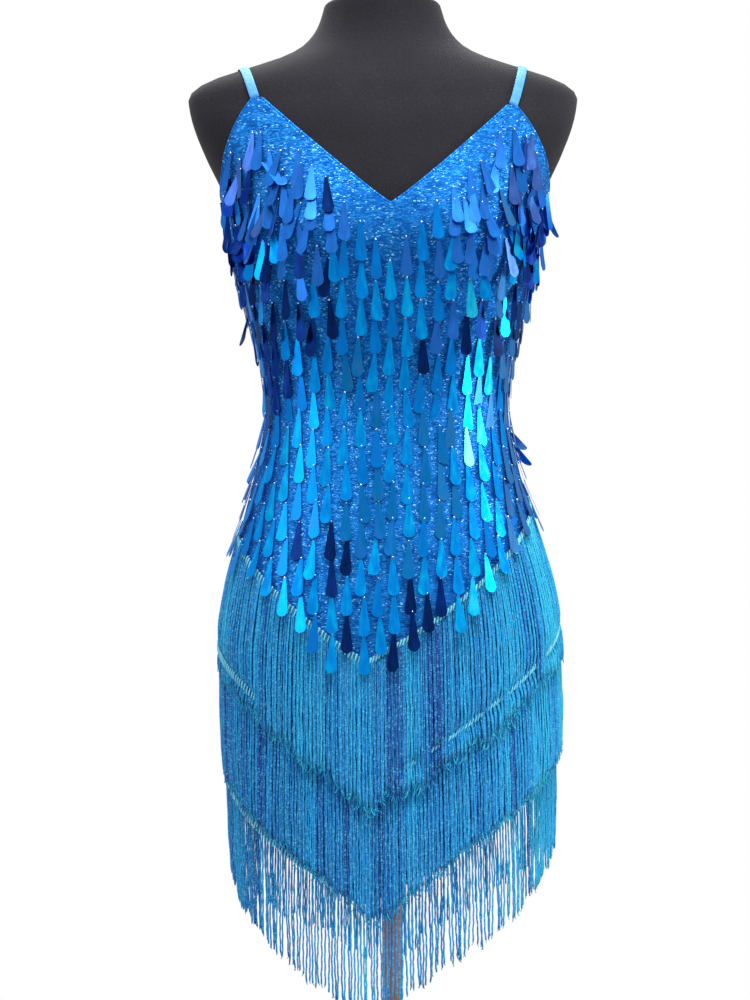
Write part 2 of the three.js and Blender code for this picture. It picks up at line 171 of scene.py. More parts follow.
# Soft drag lines of the tight cloth: where each lies, how it runs and how high it stands.
CREASE_COLUMNS = ("angle", "z", "half_length", "tilt", "half_width", "height")
CREASES = [
    (-38, 1160, 46, 24, 7, 1.5),
    (41, 1155, 50, -27, 7, 1.6),
    (-14, 1172, 26, 72, 8, 1.1),
    (17, 1168, 30, -66, 8, 1.2),
    (-66, 1092, 34, 8, 6, 1.4),
    (64, 1100, 36, -12, 6, 1.5),
    (-52, 1066, 40, -4, 6, 1.2),
    (55, 1058, 34, 6, 6, 1.1),
    (-24, 1020, 44, -18, 9, 0.9),
    (30, 1008, 40, 22, 9, 1.0),
    (2, 872, 60, 4, 14, 0.8),
    (-62, 1232, 30, -46, 6, 1.3),
    (66, 1226, 28, 50, 6, 1.2),
    (148, 1090, 48, 12, 7, 1.5),
    (-146, 1082, 44, -16, 7, 1.6),
    (170, 1060, 40, 4, 7, 1.1),
    (-168, 1108, 36, -6, 7, 1.2),
    (128, 1052, 34, 18, 6, 1.3),
    (-124, 1118, 36, -20, 6, 1.2),
    (156, 1210, 40, 62, 9, 0.9),
    (-158, 1200, 36, -58, 9, 1.0),
    (-176, 900, 55, -5, 14, 0.8),
]
CREASE_MM_PER_DEGREE = 2.1


def crease_height(angle, z):
    total = np.zeros(np.broadcast(angle, z).shape)
    for row in CREASES:
        crease = dict(zip(CREASE_COLUMNS, row))
        turn = (np.asarray(angle) - crease["angle"] + 180) % 360 - 180
        across = turn * CREASE_MM_PER_DEGREE
        up = np.asarray(z) - crease["z"]
        tilt = math.radians(crease["tilt"])
        along = (across * math.cos(tilt) + up * math.sin(tilt)) / crease["half_length"]
        aside = (up * math.cos(tilt) - across * math.sin(tilt)) / crease["half_width"]
        total += crease["height"] * np.exp(-along * along - aside * aside)
    return total


def cloth_point(angle, z, lift):
    """Points at a lift above the cloth's outer surface; the inner one lies at minus the cloth's thickness."""
    angle, z, lift = np.broadcast_arrays(angle, z, lift)
    out = CLOTH_TOP + lift + crease_height(angle, z)
    return body_point(angle, z) + out[..., None] * outward(angle, z)


# ---------- Lines that the cloth is cut and sewn along ----------
def from_front(angle):
    return (np.asarray(angle, dtype=float) + 180) % 360 - 180


def tier_height(tier, angle):
    """The sewn line of a fringe tier; the back repeats the front with its tip in the middle."""
    angle = from_front(angle)
    on_back = np.abs(angle) > 90
    turned = np.sign(angle) * np.where(on_back, 180 - np.abs(angle), np.abs(angle))
    tip = np.where(on_back, 0, tier["tip_angle"])
    side = np.where(turned < tip, tier["left"], tier["right"])
    t = np.where(turned < tip, (tip - turned) / (90 + tip), (turned - tip) / (90 - tip))
    climb = (1 - tier["bow"]) * t + tier["bow"] * np.sin(t * math.pi / 2)
    return tier["tip"] + (side - tier["tip"]) * climb


def hem_height(angle):
    return tier_height(TIERS["lower"], angle) - TAPE["half_width"]


def front_top(angle):
    """The upper edge of the front: armhole, strap corner and V neck."""
    angle = np.asarray(angle, dtype=float)
    turned = np.abs(angle)
    top = np.zeros(angle.shape)
    for name, side in (("left", angle < 0), ("right", angle >= 0)):
        peak = PEAKS[name]
        t = np.clip((turned - peak["outer"]) / (SIDE_SEAM - peak["outer"]), 0, 1)
        armhole = ARMHOLE["z"] + (peak["z"] - ARMHOLE["z"]) * (1 - t) ** ARMHOLE["curve"]
        peak_x = body_point(peak["inner"], peak["z"])[0]
        neck = np.full(angle.shape, float(NECKLINE["depth"]))
        for _ in range(20):
            share = np.abs(body_point(turned, neck)[..., 0]) / peak_x
            neck = NECKLINE["depth"] + (peak["z"] - NECKLINE["depth"]) * share ** NECKLINE["curve"]
        height = np.where(turned >= peak["inner"], peak["z"], neck)
        top = np.where(side, np.where(turned >= peak["outer"], armhole, height), top)
    return top


def smoothstep(x, low, high):
    t = np.clip((x - low) / (high - low), 0, 1)
    return t * t * (3 - 2 * t)


def back_top(angle):
    turned = 180 - np.abs(from_front(angle))
    edge = BACK_TOP
    side = edge["strap"] + (ARMHOLE["z"] - edge["strap"]) * smoothstep(turned, edge["outer"], SIDE_SEAM)
    middle = edge["centre"] + (edge["strap"] - edge["centre"]) * smoothstep(turned, 0, edge["inner"])
    return np.where(turned >= edge["outer"], side, middle)


# ---------- Distances along the cloth ----------
ARC_TURNS = np.linspace(0, 90, 361)
ARC_STEP = 4.0
ARC_HEIGHTS = np.arange(480.0, 1376.0, ARC_STEP)


def arc_table(on_back):
    """Distance round the body from a centre line, for each height and turn."""
    z = ARC_HEIGHTS[:, None]
    angles = 180 - ARC_TURNS if on_back else ARC_TURNS
    points = body_point(angles[None, :], z)
    steps = np.linalg.norm(np.diff(points, axis=1), axis=-1)
    return np.concatenate([np.zeros((len(ARC_HEIGHTS), 1)), np.cumsum(steps, axis=1)], axis=1)


ARCS = {False: arc_table(False), True: arc_table(True)}


def side_arc(z, on_back):
    """Distance from a centre line to the side seam."""
    return np.interp(z, ARC_HEIGHTS, ARCS[on_back][:, -1])


def angle_at(distance, z, on_back):
    """The angle of points at a signed distance from the centre line of the front or the back."""
    distance, z = np.broadcast_arrays(np.asarray(distance, dtype=float), np.asarray(z, dtype=float))
    rows = np.clip(np.rint((z - ARC_HEIGHTS[0]) / ARC_STEP).astype(int), 0, len(ARC_HEIGHTS) - 1)
    turned = np.zeros(distance.shape)
    for row in np.unique(rows):
        chosen = rows == row
        turned[chosen] = np.interp(np.abs(distance[chosen]), ARCS[on_back][row], ARC_TURNS)
    turned = np.sign(distance) * turned
    return 180 + turned if on_back else turned


# ---------- Making meshes ----------
def new_object(name, data):
    item = bpy.data.objects.new(name, data)
    bpy.context.scene.collection.objects.link(item)
    return item


def full_turn(count):
    return np.linspace(0, 2 * math.pi, count, endpoint=False)


def rotated(a, b, turn):
    """Two vectors at right angles, turned from the first towards the second."""
    return a * np.cos(turn) + b * np.sin(turn), b * np.cos(turn) - a * np.sin(turn)
def make_piece(name, points, faces, material, uv=None, tone=None, crisp=None):
    """A mesh object that rides on the root body. uv and tone are one value for each point; edges sharper than
    the crisp angle stay sharp in an otherwise smooth shading."""
    mesh = bpy.data.meshes.new(name)
    mesh.from_pydata((points * MM).tolist(), [], faces)
    mesh.polygons.foreach_set("use_smooth", [True] * len(mesh.polygons))
    if uv is not None:
        corners = np.zeros(len(mesh.loops), dtype=int)
        mesh.loops.foreach_get("vertex_index", corners)
        layer = mesh.uv_layers.new(name="cloth")
        layer.data.foreach_set("uv", (uv[corners] * MM).ravel())
    if tone is not None:
        mesh.attributes.new("tone", "FLOAT", "POINT").data.foreach_set("value", tone)
    mesh.materials.append(material)
    mesh.validate()
    mesh.update()
    if crisp is not None:
        mesh.set_sharp_from_angle(angle=math.radians(crisp))
    piece = new_object(name, mesh)
    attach(piece, "root")
    return piece


def grid_faces(columns, rows, start=0, flipped=False):
    i, j = np.meshgrid(np.arange(columns - 1), np.arange(rows - 1), indexing="ij")
    a = start + i * rows + j
    quads = np.stack([a, a + rows, a + rows + 1, a + 1], axis=-1).reshape(-1, 4)
    return quads[:, ::-1] if flipped else quads


def rim_faces(columns, rows, start_outer, start_inner):
    """The faces that join an outer and an inner grid round their edges."""
    bottom = [i * rows for i in range(columns)]
    right = [(columns - 1) * rows + j for j in range(rows)]
    top = [i * rows + rows - 1 for i in reversed(range(columns))]
    left = list(reversed(range(rows)))
    loop = bottom + right[1:] + top[1:] + left[1:]
    faces = []
    for a, b in zip(loop[:-1], loop[1:]):
        faces.append([start_outer + b, start_outer + a, start_inner + a, start_inner + b])
    return faces


def tube_mesh(paths, normals, half_width, half_thickness, sides):
    """Closed tubes along paths, shaped (tubes, points, 3), with their flat side facing the normals."""
    tubes, count = paths.shape[:2]
    tangent = unit(np.gradient(paths, axis=1))
    across = unit(np.cross(tangent, normals))
    facing = np.cross(across, tangent)
    turn = full_turn(sides)
    width = np.broadcast_to(half_width, (tubes, count))[:, :, None, None]
    thick = np.broadcast_to(half_thickness, (tubes, count))[:, :, None, None]
    rings = (
        paths[:, :, None, :]
        + across[:, :, None, :] * width * np.cos(turn)[None, None, :, None]
        - facing[:, :, None, :] * thick * np.sin(turn)[None, None, :, None]
    )
    points = rings.reshape(-1, 3)
    tube, ring, k = np.meshgrid(np.arange(tubes), np.arange(count - 1), np.arange(sides), indexing="ij")
    here = (tube * count + ring) * sides
    after = (k + 1) % sides
    quads = np.stack([here + k, here + after, here + sides + after, here + sides + k], axis=-1)
    faces = quads.reshape(-1, 4).tolist()
    for n in range(tubes):
        first = n * count * sides
        last = first + (count - 1) * sides
        faces.append([first + k for k in reversed(range(sides))])
        faces.append([last + k for k in range(sides)])
    return points, faces


def tube_piece(name, paths, normals, half_width, half_thickness, sides, material, slot, tone=None):
    """Tubes whose UV runs along them in millimetres, each from its own random start."""
    points, faces = tube_mesh(paths, normals, half_width, half_thickness, sides)
    tubes, count = paths.shape[:2]
    lengths = np.linalg.norm(np.diff(paths, axis=1), axis=-1)
    along = np.concatenate([np.zeros((tubes, 1)), np.cumsum(lengths, axis=1)], axis=1)
    along += draws(name).uniform(0, 500, (tubes, 1))
    turn = np.linspace(0, 1, sides, endpoint=False)
    uv = np.zeros((tubes, count, sides, 2))
    uv[..., 0] = turn
    uv[..., 1] = along[:, :, None]
    if tone is not None:
        tone = np.repeat(tone, count * sides)
    return make_piece(name, points, faces, material, uv.reshape(-1, 2), tone)


def single_tube(name, path, normals, shape, material, slot):
    """One tube along a path, with the half width, half thickness and sides of its shape."""
    size = shape["half_width"], shape["half_thickness"], shape["sides"]
    return tube_piece(name, path[None], normals[None], *size, material, slot)


def turned_grid(radius, height, around):
    """Points of a profile turned about the Z axis, shaped (around, heights, 3)."""
    turn = full_turn(around)[:, None]
    level = np.broadcast_to(height, (around, len(height)))
    return np.stack([radius * np.cos(turn), radius * np.sin(turn), level], axis=-1)


def lathe_mesh(grid, low, high):
    """A closed surface from a grid round the Z axis and the heights of its two end points on the axis."""
    columns, rows = grid.shape[:2]
    points = np.concatenate([grid.reshape(-1, 3), [[0, 0, low], [0, 0, high]]])
    faces = []
    for i in range(columns):
        k = (i + 1) % columns
        faces += [[i * rows + j, k * rows + j, k * rows + j + 1, i * rows + j + 1] for j in range(rows - 1)]
        faces.append([columns * rows, k * rows, i * rows])
        faces.append([columns * rows + 1, i * rows + rows - 1, k * rows + rows - 1])
    return points, faces


def draws(name):
    """Random numbers that are the same on each run, with a seed from the piece's name."""
    return np.random.default_rng(sum(ord(letter) * (n + 1) for n, letter in enumerate(name)))


# ---------- Materials ----------
WHITE = (1, 1, 1)
BLACK = (0, 0, 0)


def connect(tree, node, inputs):
    """Sets a node's inputs; each is a value or a colour of its own, or another node's output."""
    for key, value in inputs.items():
        socket = node.inputs[key]
        if isinstance(value, bpy.types.NodeSocket):
            tree.links.new(value, socket)
        else:
            socket.default_value = (*value, 1) if socket.type == "RGBA" else value


def add(tree, kind, inputs=None, **settings):
    """A node with its settings and inputs."""
    node = tree.nodes.new("ShaderNode" + kind)
    for key, value in settings.items():
        setattr(node, key, value)
    connect(tree, node, inputs or {})
    return node


def new_material(name):
    material = bpy.data.materials.new(name)
    material.use_nodes = True
    tree = material.node_tree
    tree.nodes.clear()
    shader = add(tree, "BsdfPrincipled")
    add(tree, "OutputMaterial", {"Surface": shader.outputs["BSDF"]})
    return material, tree, shader


def ramp(tree, factor, *stops):
    """A colour ramp with stops of (position, colour)."""
    node = add(tree, "ValToRGB", {"Fac": factor})
    elements = node.color_ramp.elements
    while len(elements) < len(stops):
        elements.new(0.5)
    for element, (position, colour) in zip(elements, stops):
        element.position = position
        element.color = (*colour, 1)
    return node.outputs["Color"]


def mix_colour(tree, factor, a, b, blend="MIX"):
    """Two colours mixed; a Mix node's colour sockets have to be named by their numbers."""
    return add(tree, "Mix", {0: factor, 6: a, 7: b}, data_type="RGBA", blend_type=blend).outputs[2]


def math_node(tree, operation, a, b, clamp=False):
    return add(tree, "Math", {0: a, 1: b}, operation=operation, use_clamp=clamp).outputs["Value"]


def scaled(tree, value, factor, offset, clamp=False):
    """A value times a factor, plus an offset that is a number or another value."""
    return math_node(tree, "ADD", math_node(tree, "MULTIPLY", value, factor), offset, clamp)


def spots(tree, value, above, strength):
    """The strength where a value is above a level, and nothing elsewhere."""
    return math_node(tree, "MULTIPLY", math_node(tree, "GREATER_THAN", value, above), strength)


def bump(tree, height, strength, distance):
    return add(tree, "Bump", {"Height": height, "Strength": strength, "Distance": distance}).outputs["Normal"]


def cloth_coordinates(tree, wide, high):
    """The cloth's own coordinates, one unit for a width and a height in millimetres."""
    uv = add(tree, "UVMap", uv_map="cloth")
    scale = (1 / (wide * MM), 1 / (high * MM), 1)
    return add(tree, "Mapping", {"Vector": uv.outputs["UV"], "Scale": scale}).outputs["Vector"]


def noise(tree, wide, high, detail):
    """Soft patches on the cloth, of about a width and a height in millimetres."""
    place = cloth_coordinates(tree, wide, high)
    return add(tree, "TexNoise", {"Vector": place, "Scale": 1.0, "Detail": detail}).outputs["Fac"]


def solid_noise(tree, scale, detail):
    """Soft patches through the whole object, so many to the metre."""
    place = add(tree, "TexCoord").outputs["Object"]
    return add(tree, "TexNoise", {"Vector": place, "Scale": scale, "Detail": detail}).outputs["Fac"]


def cells(tree, wide, high, channel):
    """Cells on the cloth: the level of each in a colour channel, and the distance from its middle."""
    node = add(tree, "TexVoronoi", {"Vector": cloth_coordinates(tree, wide, high), "Scale": 1.0})
    level = add(tree, "SeparateColor", {"Color": node.outputs["Color"]}).outputs[channel]
    return level, node.outputs["Distance"]


def ribs(tree, high, distortion):
    """Ribs across the cloth's height, or across the length of a tube."""
    wave = {"Vector": cloth_coordinates(tree, 1, high), "Scale": 1.0, "Distortion": distortion}
    return add(tree, "TexWave", wave, bands_direction="Y").outputs["Fac"]


def own_tone(tree):
    return add(tree, "Attribute", attribute_name="tone").outputs["Fac"]


def glitter_knit():
    """Royal blue stretch knit with a metallic yarn that glints in short level dashes, their lighter colour
    partly a painted highlight, and tiny specks of painted sparkle in light blue.
    """
    material, tree, shader = new_material("glitter_knit")
    mottle = noise(tree, 14, 9, 3.0)
    blues = [(0.3, (0.002, 0.07, 0.33)), (0.52, (0.004, 0.12, 0.48)), (0.75, (0.009, 0.18, 0.62))]
    # The dashes are the metallic yarn, more metallic and glossier; their lighter colour is partly the yarn's
    # own and partly a painted highlight.
    dash_level, dash_distance = cells(tree, 2.6, 0.95, "Red")
    dash = spots(tree, dash_level, 0.66, 0.6)
    lit = mix_colour(tree, dash, ramp(tree, mottle, *blues), (0.035, 0.33, 0.84))
    # Painted sparkle: tiny specks where the base colour turns light blue to stand for sparkles of light.
    painted_glint = math_node(tree, "GREATER_THAN", cells(tree, 1.7, 0.8, "Green")[0], 0.965)
    look = {
        "Base Color": mix_colour(tree, painted_glint, lit, (0.25, 0.68, 1.0)),
        "Metallic": scaled(tree, dash, 0.45, 0.35, clamp=True),
        "Roughness": scaled(tree, dash, -0.2, 0.55),
        "Specular IOR Level": 0.2,
        "Specular Tint": (0.2, 0.55, 1.0),
        "Sheen Weight": 0.03,
        "Sheen Tint": (0.2, 0.6, 1.0),
        "Normal": bump(tree, scaled(tree, dash_distance, -0.8, dash_level), 0.5, 0.0004),
    }
    connect(tree, shader, look)
    return material


def paillette_film():
    """Bright blue metallic film with painted reflections: each drop's own tone picks a lighter or darker
    shade, as its tilt to or from the light does on the real one, and painted streaks and grain of light run
    over each drop.
    """
    material, tree, shader = new_material("paillette_film")
    streaks = noise(tree, 5, 16, 2.0)
    # Painted reflection: the streaks shift each drop's tone along its length towards a lighter or darker
    # shade.
    drift = math_node(tree, "MULTIPLY", math_node(tree, "SUBTRACT", streaks, 0.5), 0.16)
    toned = math_node(tree, "ADD", own_tone(tree), drift, clamp=True)
    shade = ramp(tree, toned, *[row[1:] for row in SHADES])
    # Painted light: the streaks and a fine grain make the film's colour lighter or darker over each drop.
    grain = scaled(tree, noise(tree, 0.9, 0.9, 1.0), 0.34, 0.63)
    light = scaled(tree, streaks, 0.3, grain)
    glow = add(tree, "CombineColor", {"Red": light, "Green": light, "Blue": light}).outputs["Color"]
    look = {
        "Base Color": mix_colour(tree, 1.0, shade, glow, "MULTIPLY"),
        "Metallic": 0.88,
        "Specular Tint": (0.55, 0.75, 1.0),
        "Roughness": scaled(tree, streaks, 0.12, 0.24),
        "Normal": bump(tree, streaks, 0.05, 0.0005),
    }
    connect(tree, shader, look)
    return material


def chainette_yarn():
    """Twisted rayon yarn from sea blue to turquoise, with painted highlights on light flecks where its plies
    catch the light, and painted shade in darker flecks.
    """
    material, tree, shader = new_material("chainette_yarn")
    base = ramp(
        tree,
        own_tone(tree),
        (0.0, (0.001, 0.06, 0.40)),
        (0.35, (0.002, 0.20, 0.62)),
        (0.65, (0.004, 0.41, 0.85)),
        (1.0, (0.03, 0.71, 0.88)),
    )
    flecks = noise(tree, 1, 1.8, 2.0)
    # Painted highlight on the light flecks, which are also glossier; painted shade on the dark flecks.
    light = ramp(tree, flecks, (0.5, BLACK), (0.72, WHITE))
    dark = ramp(tree, flecks, (0.3, (0.55, 0.6, 0.7)), (0.46, WHITE))
    shaded = mix_colour(tree, 1.0, base, dark, "MULTIPLY")
    look = {
        "Base Color": mix_colour(tree, math_node(tree, "MULTIPLY", light, 0.8), shaded, (0.11, 0.70, 1.0)),
        "Specular IOR Level": 0.3,
        "Roughness": scaled(tree, light, -0.25, 0.6),
        "Sheen Weight": 0.05,
        "Sheen Tint": (0.2, 0.8, 1.0),
        "Normal": bump(tree, ribs(tree, 2.4, 2.5), 0.8, 0.0006),
    }
    connect(tree, shader, look)
    return material


def satin_tape(name, low, high, rough):
    """Woven satin: fine ribs across its length, with a painted sheen that makes them brighter on their
    crowns.
    """
    material, tree, shader = new_material(name)
    weave = ribs(tree, 1.6, 0.6)
    drift = noise(tree, 6, 14, 2.0)
    look = {
        # Painted sheen: the colour runs from the low one in the rib hollows to the high one on the crowns.
        "Base Color": ramp(tree, scaled(tree, weave, 0.5, drift), (0.35, low), (1.0, high)),
        "Roughness": scaled(tree, drift, 0.2, rough),
        "Sheen Weight": 0.2,
        "Normal": bump(tree, weave, 0.4, 0.0003),
    }
    connect(tree, shader, look)
    return material


def bead_glass():
    """Small clear beads with a silvery lining, each a little different."""
    material, tree, shader = new_material("bead_glass")
    tone = own_tone(tree)
    look = {
        "Base Color": ramp(tree, tone, (0.0, (0.25, 0.55, 0.95)), (0.6, (0.65, 0.88, 1.0)), (1.0, WHITE)),
        "Metallic": 0.7,
        "Roughness": math_node(tree, "MULTIPLY", tone, 0.18),
        "Coat Weight": 0.6,
    }
    connect(tree, shader, look)
    return material


def form_jersey():
    """Charcoal stretch jersey: a fine knit grain with faint heathering."""
    material, tree, shader = new_material("form_jersey")
    place = add(tree, "TexCoord").outputs["Object"]
    knit = add(tree, "TexVoronoi", {"Vector": place, "Scale": 780.0}).outputs["Distance"]
    patches = math_node(tree, "MULTIPLY", solid_noise(tree, 16.0, 2.0), 0.4)
    grain = scaled(tree, solid_noise(tree, 450.0, 4.0), 0.6, patches)
    shades = [(0.3, (0.0065, 0.006, 0.0088)), (0.55, (0.013, 0.012, 0.0175)), (0.75, (0.023, 0.0215, 0.028))]
    look = {
        "Base Color": ramp(tree, grain, *shades),
        "Roughness": scaled(tree, grain, 0.1, 0.82),
        "Specular IOR Level": 0.2,
        "Sheen Weight": 0.08,
        "Normal": bump(tree, knit, 0.35, 0.0004),
    }
    connect(tree, shader, look)
    return material


def lacquered_steel():
    """Brown lacquered steel tube with faint drawn lines and a few scuffs."""
    material, tree, shader = new_material("lacquered_steel")
    scuffs = noise(tree, 30, 40, 5.0)
    colour = ramp(tree, noise(tree, 3, 160, 4.0), (0.3, (0.26, 0.13, 0.10)), (0.7, (0.42, 0.24, 0.18)))
    look = {
        "Base Color": mix_colour(tree, spots(tree, scuffs, 0.68, 0.4), colour, (0.45, 0.40, 0.37)),
        "Metallic": 0.9,
        "Roughness": scaled(tree, scuffs, 0.3, 0.12),
    }
    connect(tree, shader, look)
    return material


def satin_paint():
    """Satin black paint with a fine orange-peel skin and a faint haze."""
    material, tree, shader = new_material("satin_paint")
    haze = solid_noise(tree, 14.0, 5.0)
    look = {
        "Base Color": ramp(tree, haze, (0.3, (0.014, 0.014, 0.017)), (0.7, (0.034, 0.034, 0.038))),
        "Roughness": scaled(tree, haze, 0.25, 0.25),
        "Normal": bump(tree, solid_noise(tree, 600.0, 2.0), 0.15, 0.0003),
    }
    connect(tree, shader, look)
    return material


def pale_floor():
    material, tree, shader = new_material("pale_floor")
    cloud = solid_noise(tree, 1.5, 3.0)
    colour = ramp(tree, cloud, (0.3, (0.62, 0.62, 0.62)), (0.7, (0.68, 0.68, 0.67)))
    connect(tree, shader, {"Base Color": colour, "Roughness": 0.8})
    return material


# ---------- Cloth panels ----------
PANEL = dict(rows=150, step=1.5)
EDGE = dict(step=0.6, below=0.8, lift=-0.55, half_width=1.4, half_thickness=0.95, sides=10)
SEAM = dict(points=120, lift=-0.1, half_width=1.5, half_thickness=0.6, sides=8)


def column_angles(marks, step):
    """Angles from mark to mark, at most a step apart, with every mark among them."""
    angles = [marks[0]]
    for low, high in zip(marks[:-1], marks[1:]):
        count = max(1, math.ceil((high - low) / step))
        angles.extend(low + (high - low) * (k + 1) / count for k in range(count))
    return np.array(angles, dtype=float)


def front_angles():
    left, right = PEAKS["left"], PEAKS["right"]
    marks = [-SIDE_SEAM, -left["outer"], -left["inner"], 0, right["inner"], right["outer"], SIDE_SEAM]
    return column_angles(marks, PANEL["step"])


def back_angles():
    outer, inner = BACK_TOP["outer"], BACK_TOP["inner"]
    return 180 + column_angles([-SIDE_SEAM, -outer, -inner, 0, inner, outer, SIDE_SEAM], PANEL["step"])


def quad_area(grid):
    across = np.diff(grid, axis=0)[:, :-1]
    up = np.diff(grid, axis=1)[:-1]
    return float(np.linalg.norm(np.cross(across, up), axis=-1).sum())


def cloth_panel(name, node, angles, top, on_back, material):
    """A wall of cloth from the hem to its upper edge, and its flat area in square millimetres."""
    shares = np.linspace(0, 1, PANEL["rows"])
    low = hem_height(angles)[:, None]
    z = low + (top(angles)[:, None] - low) * shares[None, :]
    turn = np.broadcast_to(angles[:, None], z.shape)
    outer = cloth_point(turn, z, 0.0)
    inner = cloth_point(turn, z, -CLOTH_THICKNESS)
    columns, rows = z.shape
    faces = grid_faces(columns, rows).tolist()
    faces += grid_faces(columns, rows, columns * rows, flipped=True).tolist()
    faces += rim_faces(columns, rows, 0, columns * rows)
    middle = 180 if on_back else 0
    arc = np.interp(np.abs(turn - middle), ARC_TURNS, ARCS[on_back][len(ARC_HEIGHTS) // 2])
    uv = np.stack([np.sign(turn - middle) * arc, z], axis=-1).reshape(-1, 2)
    points = np.concatenate([outer.reshape(-1, 3), inner.reshape(-1, 3)])
    piece = make_piece(name, points, faces, material, np.concatenate([uv, uv]))
    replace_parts(piece, node)
    return piece, quad_area(outer)


def edge_hem(name, angles, top, material):
    """The narrow turned edge along a panel's upper edge."""
    fine = column_angles([angles[0], angles[-1]], EDGE["step"])
    fine = np.unique(np.concatenate([fine, angles]))
    z = top(fine)
    path = cloth_point(fine, z - EDGE["below"], np.full(fine.shape, EDGE["lift"]))
    return single_tube(name, path, outward(fine, z), EDGE, material, "glitter_cloth")


def side_seam(name, side, material):
    """The overlocked seam that joins front and back."""
    angle = 90.0 * side
    z = np.linspace(float(hem_height(angle)) + 2, ARMHOLE["z"] - 1, SEAM["points"])
    path = cloth_point(np.full(z.shape, angle), z, SEAM["lift"])
    return single_tube(name, path, outward(angle, z), SEAM, material, "glitter_cloth")


# ---------- Straps ----------
def outsideness(p):
    """Positive outside the body, for points above the waist."""
    ring = section(p[..., 2])
    power = ring["power"]
    depth = np.where(p[..., 1] < 0, ring["front"], ring["back"])
    across = (np.abs(p[..., 0]) / ring["half_width"]) ** power
    return across + (np.abs(p[..., 1]) / depth) ** power - 1 + np.maximum(0, p[..., 2] - BODY[-1, 0])


def outward_at(p):
    steps = 0.5 * np.eye(3)
    return unit(np.stack([outsideness(p + step) - outsideness(p - step) for step in steps], axis=-1))


def shoulder_point(x, turn):
    """The surface over the shoulder at a turn from straight up, negative towards the front."""
    x, turn = np.broadcast_arrays(np.asarray(x, dtype=float), np.asarray(turn, dtype=float))
    ray = np.stack([np.zeros(x.shape), np.sin(np.radians(turn)), np.cos(np.radians(turn))], axis=-1)
    centre = np.stack([x, np.zeros(x.shape), np.full(x.shape, float(STRAP_CENTRE_Z))], axis=-1)
    near, far = np.zeros(x.shape), np.full(x.shape, 200.0)
    for _ in range(40):
        middle = (near + far) / 2
        inside = outsideness(centre + middle[..., None] * ray) < 0
        near, far = np.where(inside, middle, near), np.where(inside, far, middle)
    return centre + near[..., None] * ray


def turn_at_height(x, z, limit):
    high, low = 0.0, float(limit)
    for _ in range(40):
        middle = (high + low) / 2
        if shoulder_point(x, middle)[2] > z:
            high = middle
        else:
            low = middle
    return high


def strap(side_name, material):
    side = -1 if side_name == "left" else 1
    path, peak = STRAP_PATHS[side_name], PEAKS[side_name]
    first = turn_at_height(path["front_x"], peak["z"] + 0.3, -90)
    last = turn_at_height(path["back_x"], BACK_TOP["strap"] + 0.3, 110)
    turn = np.linspace(first, last, STRAP["points"])
    end_x = np.where(turn < 0, path["front_x"], path["back_x"])
    reach = np.where(turn < 0, turn / first, turn / last)
    line = shoulder_point(path["top_x"] + (end_x - path["top_x"]) * reach * reach, turn)
    normal = outward_at(line)
    line = line + (STRAP["ease"] + STRAP["half_thickness"]) * normal
    flip = np.array([side, 1, 1])
    name = f"strap_{side_name}_tape"
    piece = single_tube(name, line * flip, normal * flip, STRAP, material, "strap_elastic")
    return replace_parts(piece, f"strap_{side_name}")


# ---------- Fringe ----------
YARN = dict(points=22, sides=6, root_raise=1.2)
YARN_LOOKS = dict(
    upper=dict(
        pitch=1.7, radius=0.98, clump=0.28, wander=0.25, kink=0.25, left=-9, right=5, tip=8,
        uneven=20, tucks=(3, 0), tone=0.53, curl=12, bend=70,
    ),
    middle=dict(
        pitch=1.8, radius=0.98, clump=0.28, wander=0.25, kink=0.25, left=-21, right=-23, tip=11,
        uneven=13, tucks=(7, 2), tone=0.46, curl=12, bend=70,
    ),
    lower=dict(
        pitch=3.0, radius=0.85, clump=0.6, wander=0.32, kink=0.3, left=-2, right=-5, tip=13,
        uneven=16, tucks=(6, 4), tone=0.5, curl=6, bend=45,
    ),
)
CURL = dict(count=2, radius=0.65, points=6, sides=4, root_raise=2)
STREAKS = dict(count=11, half_width=2.6, depth=0.3)
# A sine over the distance along the tape, in millimetres, goes round once in this many times two pi.
DRIFT = dict(length=17.0, ripple=6.3, slow=31.0, clump=4.1, tone=7.3)
DENSE_PITCH = 2.5
TIP_HALF_TURN = 13
BACK_LOWER_PITCH = 3.8
LACED = dict(
    dip=3.8,
    half_height=6.5,
    fade=0.8,
    middle=[(-95, -49), (0.5, 6), (8.5, 12.5), (14, 27.5), (28.7, 34.5), (37, 52), (58, 95)],
    lower=[(38, 66)],
)
RUNG = dict(pitch=3.2, slant=2.2, half_width=0.85, half_thickness=0.7, points=5, sides=6)
# How high the stitches stand on a bare tape, and on one that yarns cross.
RUNG_CROWN = dict(bare=0.25, crossed=1.8)


def hanging_path(angle, z, offset):
    """Yarns that follow the body down to its widest level and then fall straight."""
    ring = section(z)
    for name in ("half_width", "front", "back"):
        ring[name] = np.maximum.accumulate(ring[name], axis=1) + offset
    return section_point(angle, z, ring)


def tier_roots(tier, pitch, on_back, rng):
    """The angles of what hangs from a tape, at an even pitch along the cloth with a little play."""
    z = tier_height(tier, 180.0 if on_back else tier["tip_angle"])
    reach = side_arc(tier["left"], on_back)
    count = int(2 * reach / pitch)
    distance = (np.arange(count) - (count - 1) / 2) * pitch + rng.uniform(-0.35, 0.35, count)
    angles = angle_at(distance, np.full(count, z), on_back)
    for _ in range(3):
        heights = tier_height(tier, angles)
        inside = np.clip(distance, -side_arc(heights, on_back) + 1, side_arc(heights, on_back) - 1)
        angles = angle_at(inside, heights, on_back)
    return distance, angles


def sewn_down(tape, angles, on_back):
    """How far the strands over a lower tape are sewn down with it, from 0 to 1; at the front in stretches."""
    if on_back:
        return np.ones(angles.shape)
    share = np.zeros(angles.shape)
    fade = LACED["fade"]
    for low, high in LACED[tape]:
        ends_after = 1 - smoothstep(angles, high - fade, high + fade)
        share = np.maximum(share, smoothstep(angles, low - fade, low + fade) * ends_after)
    return share


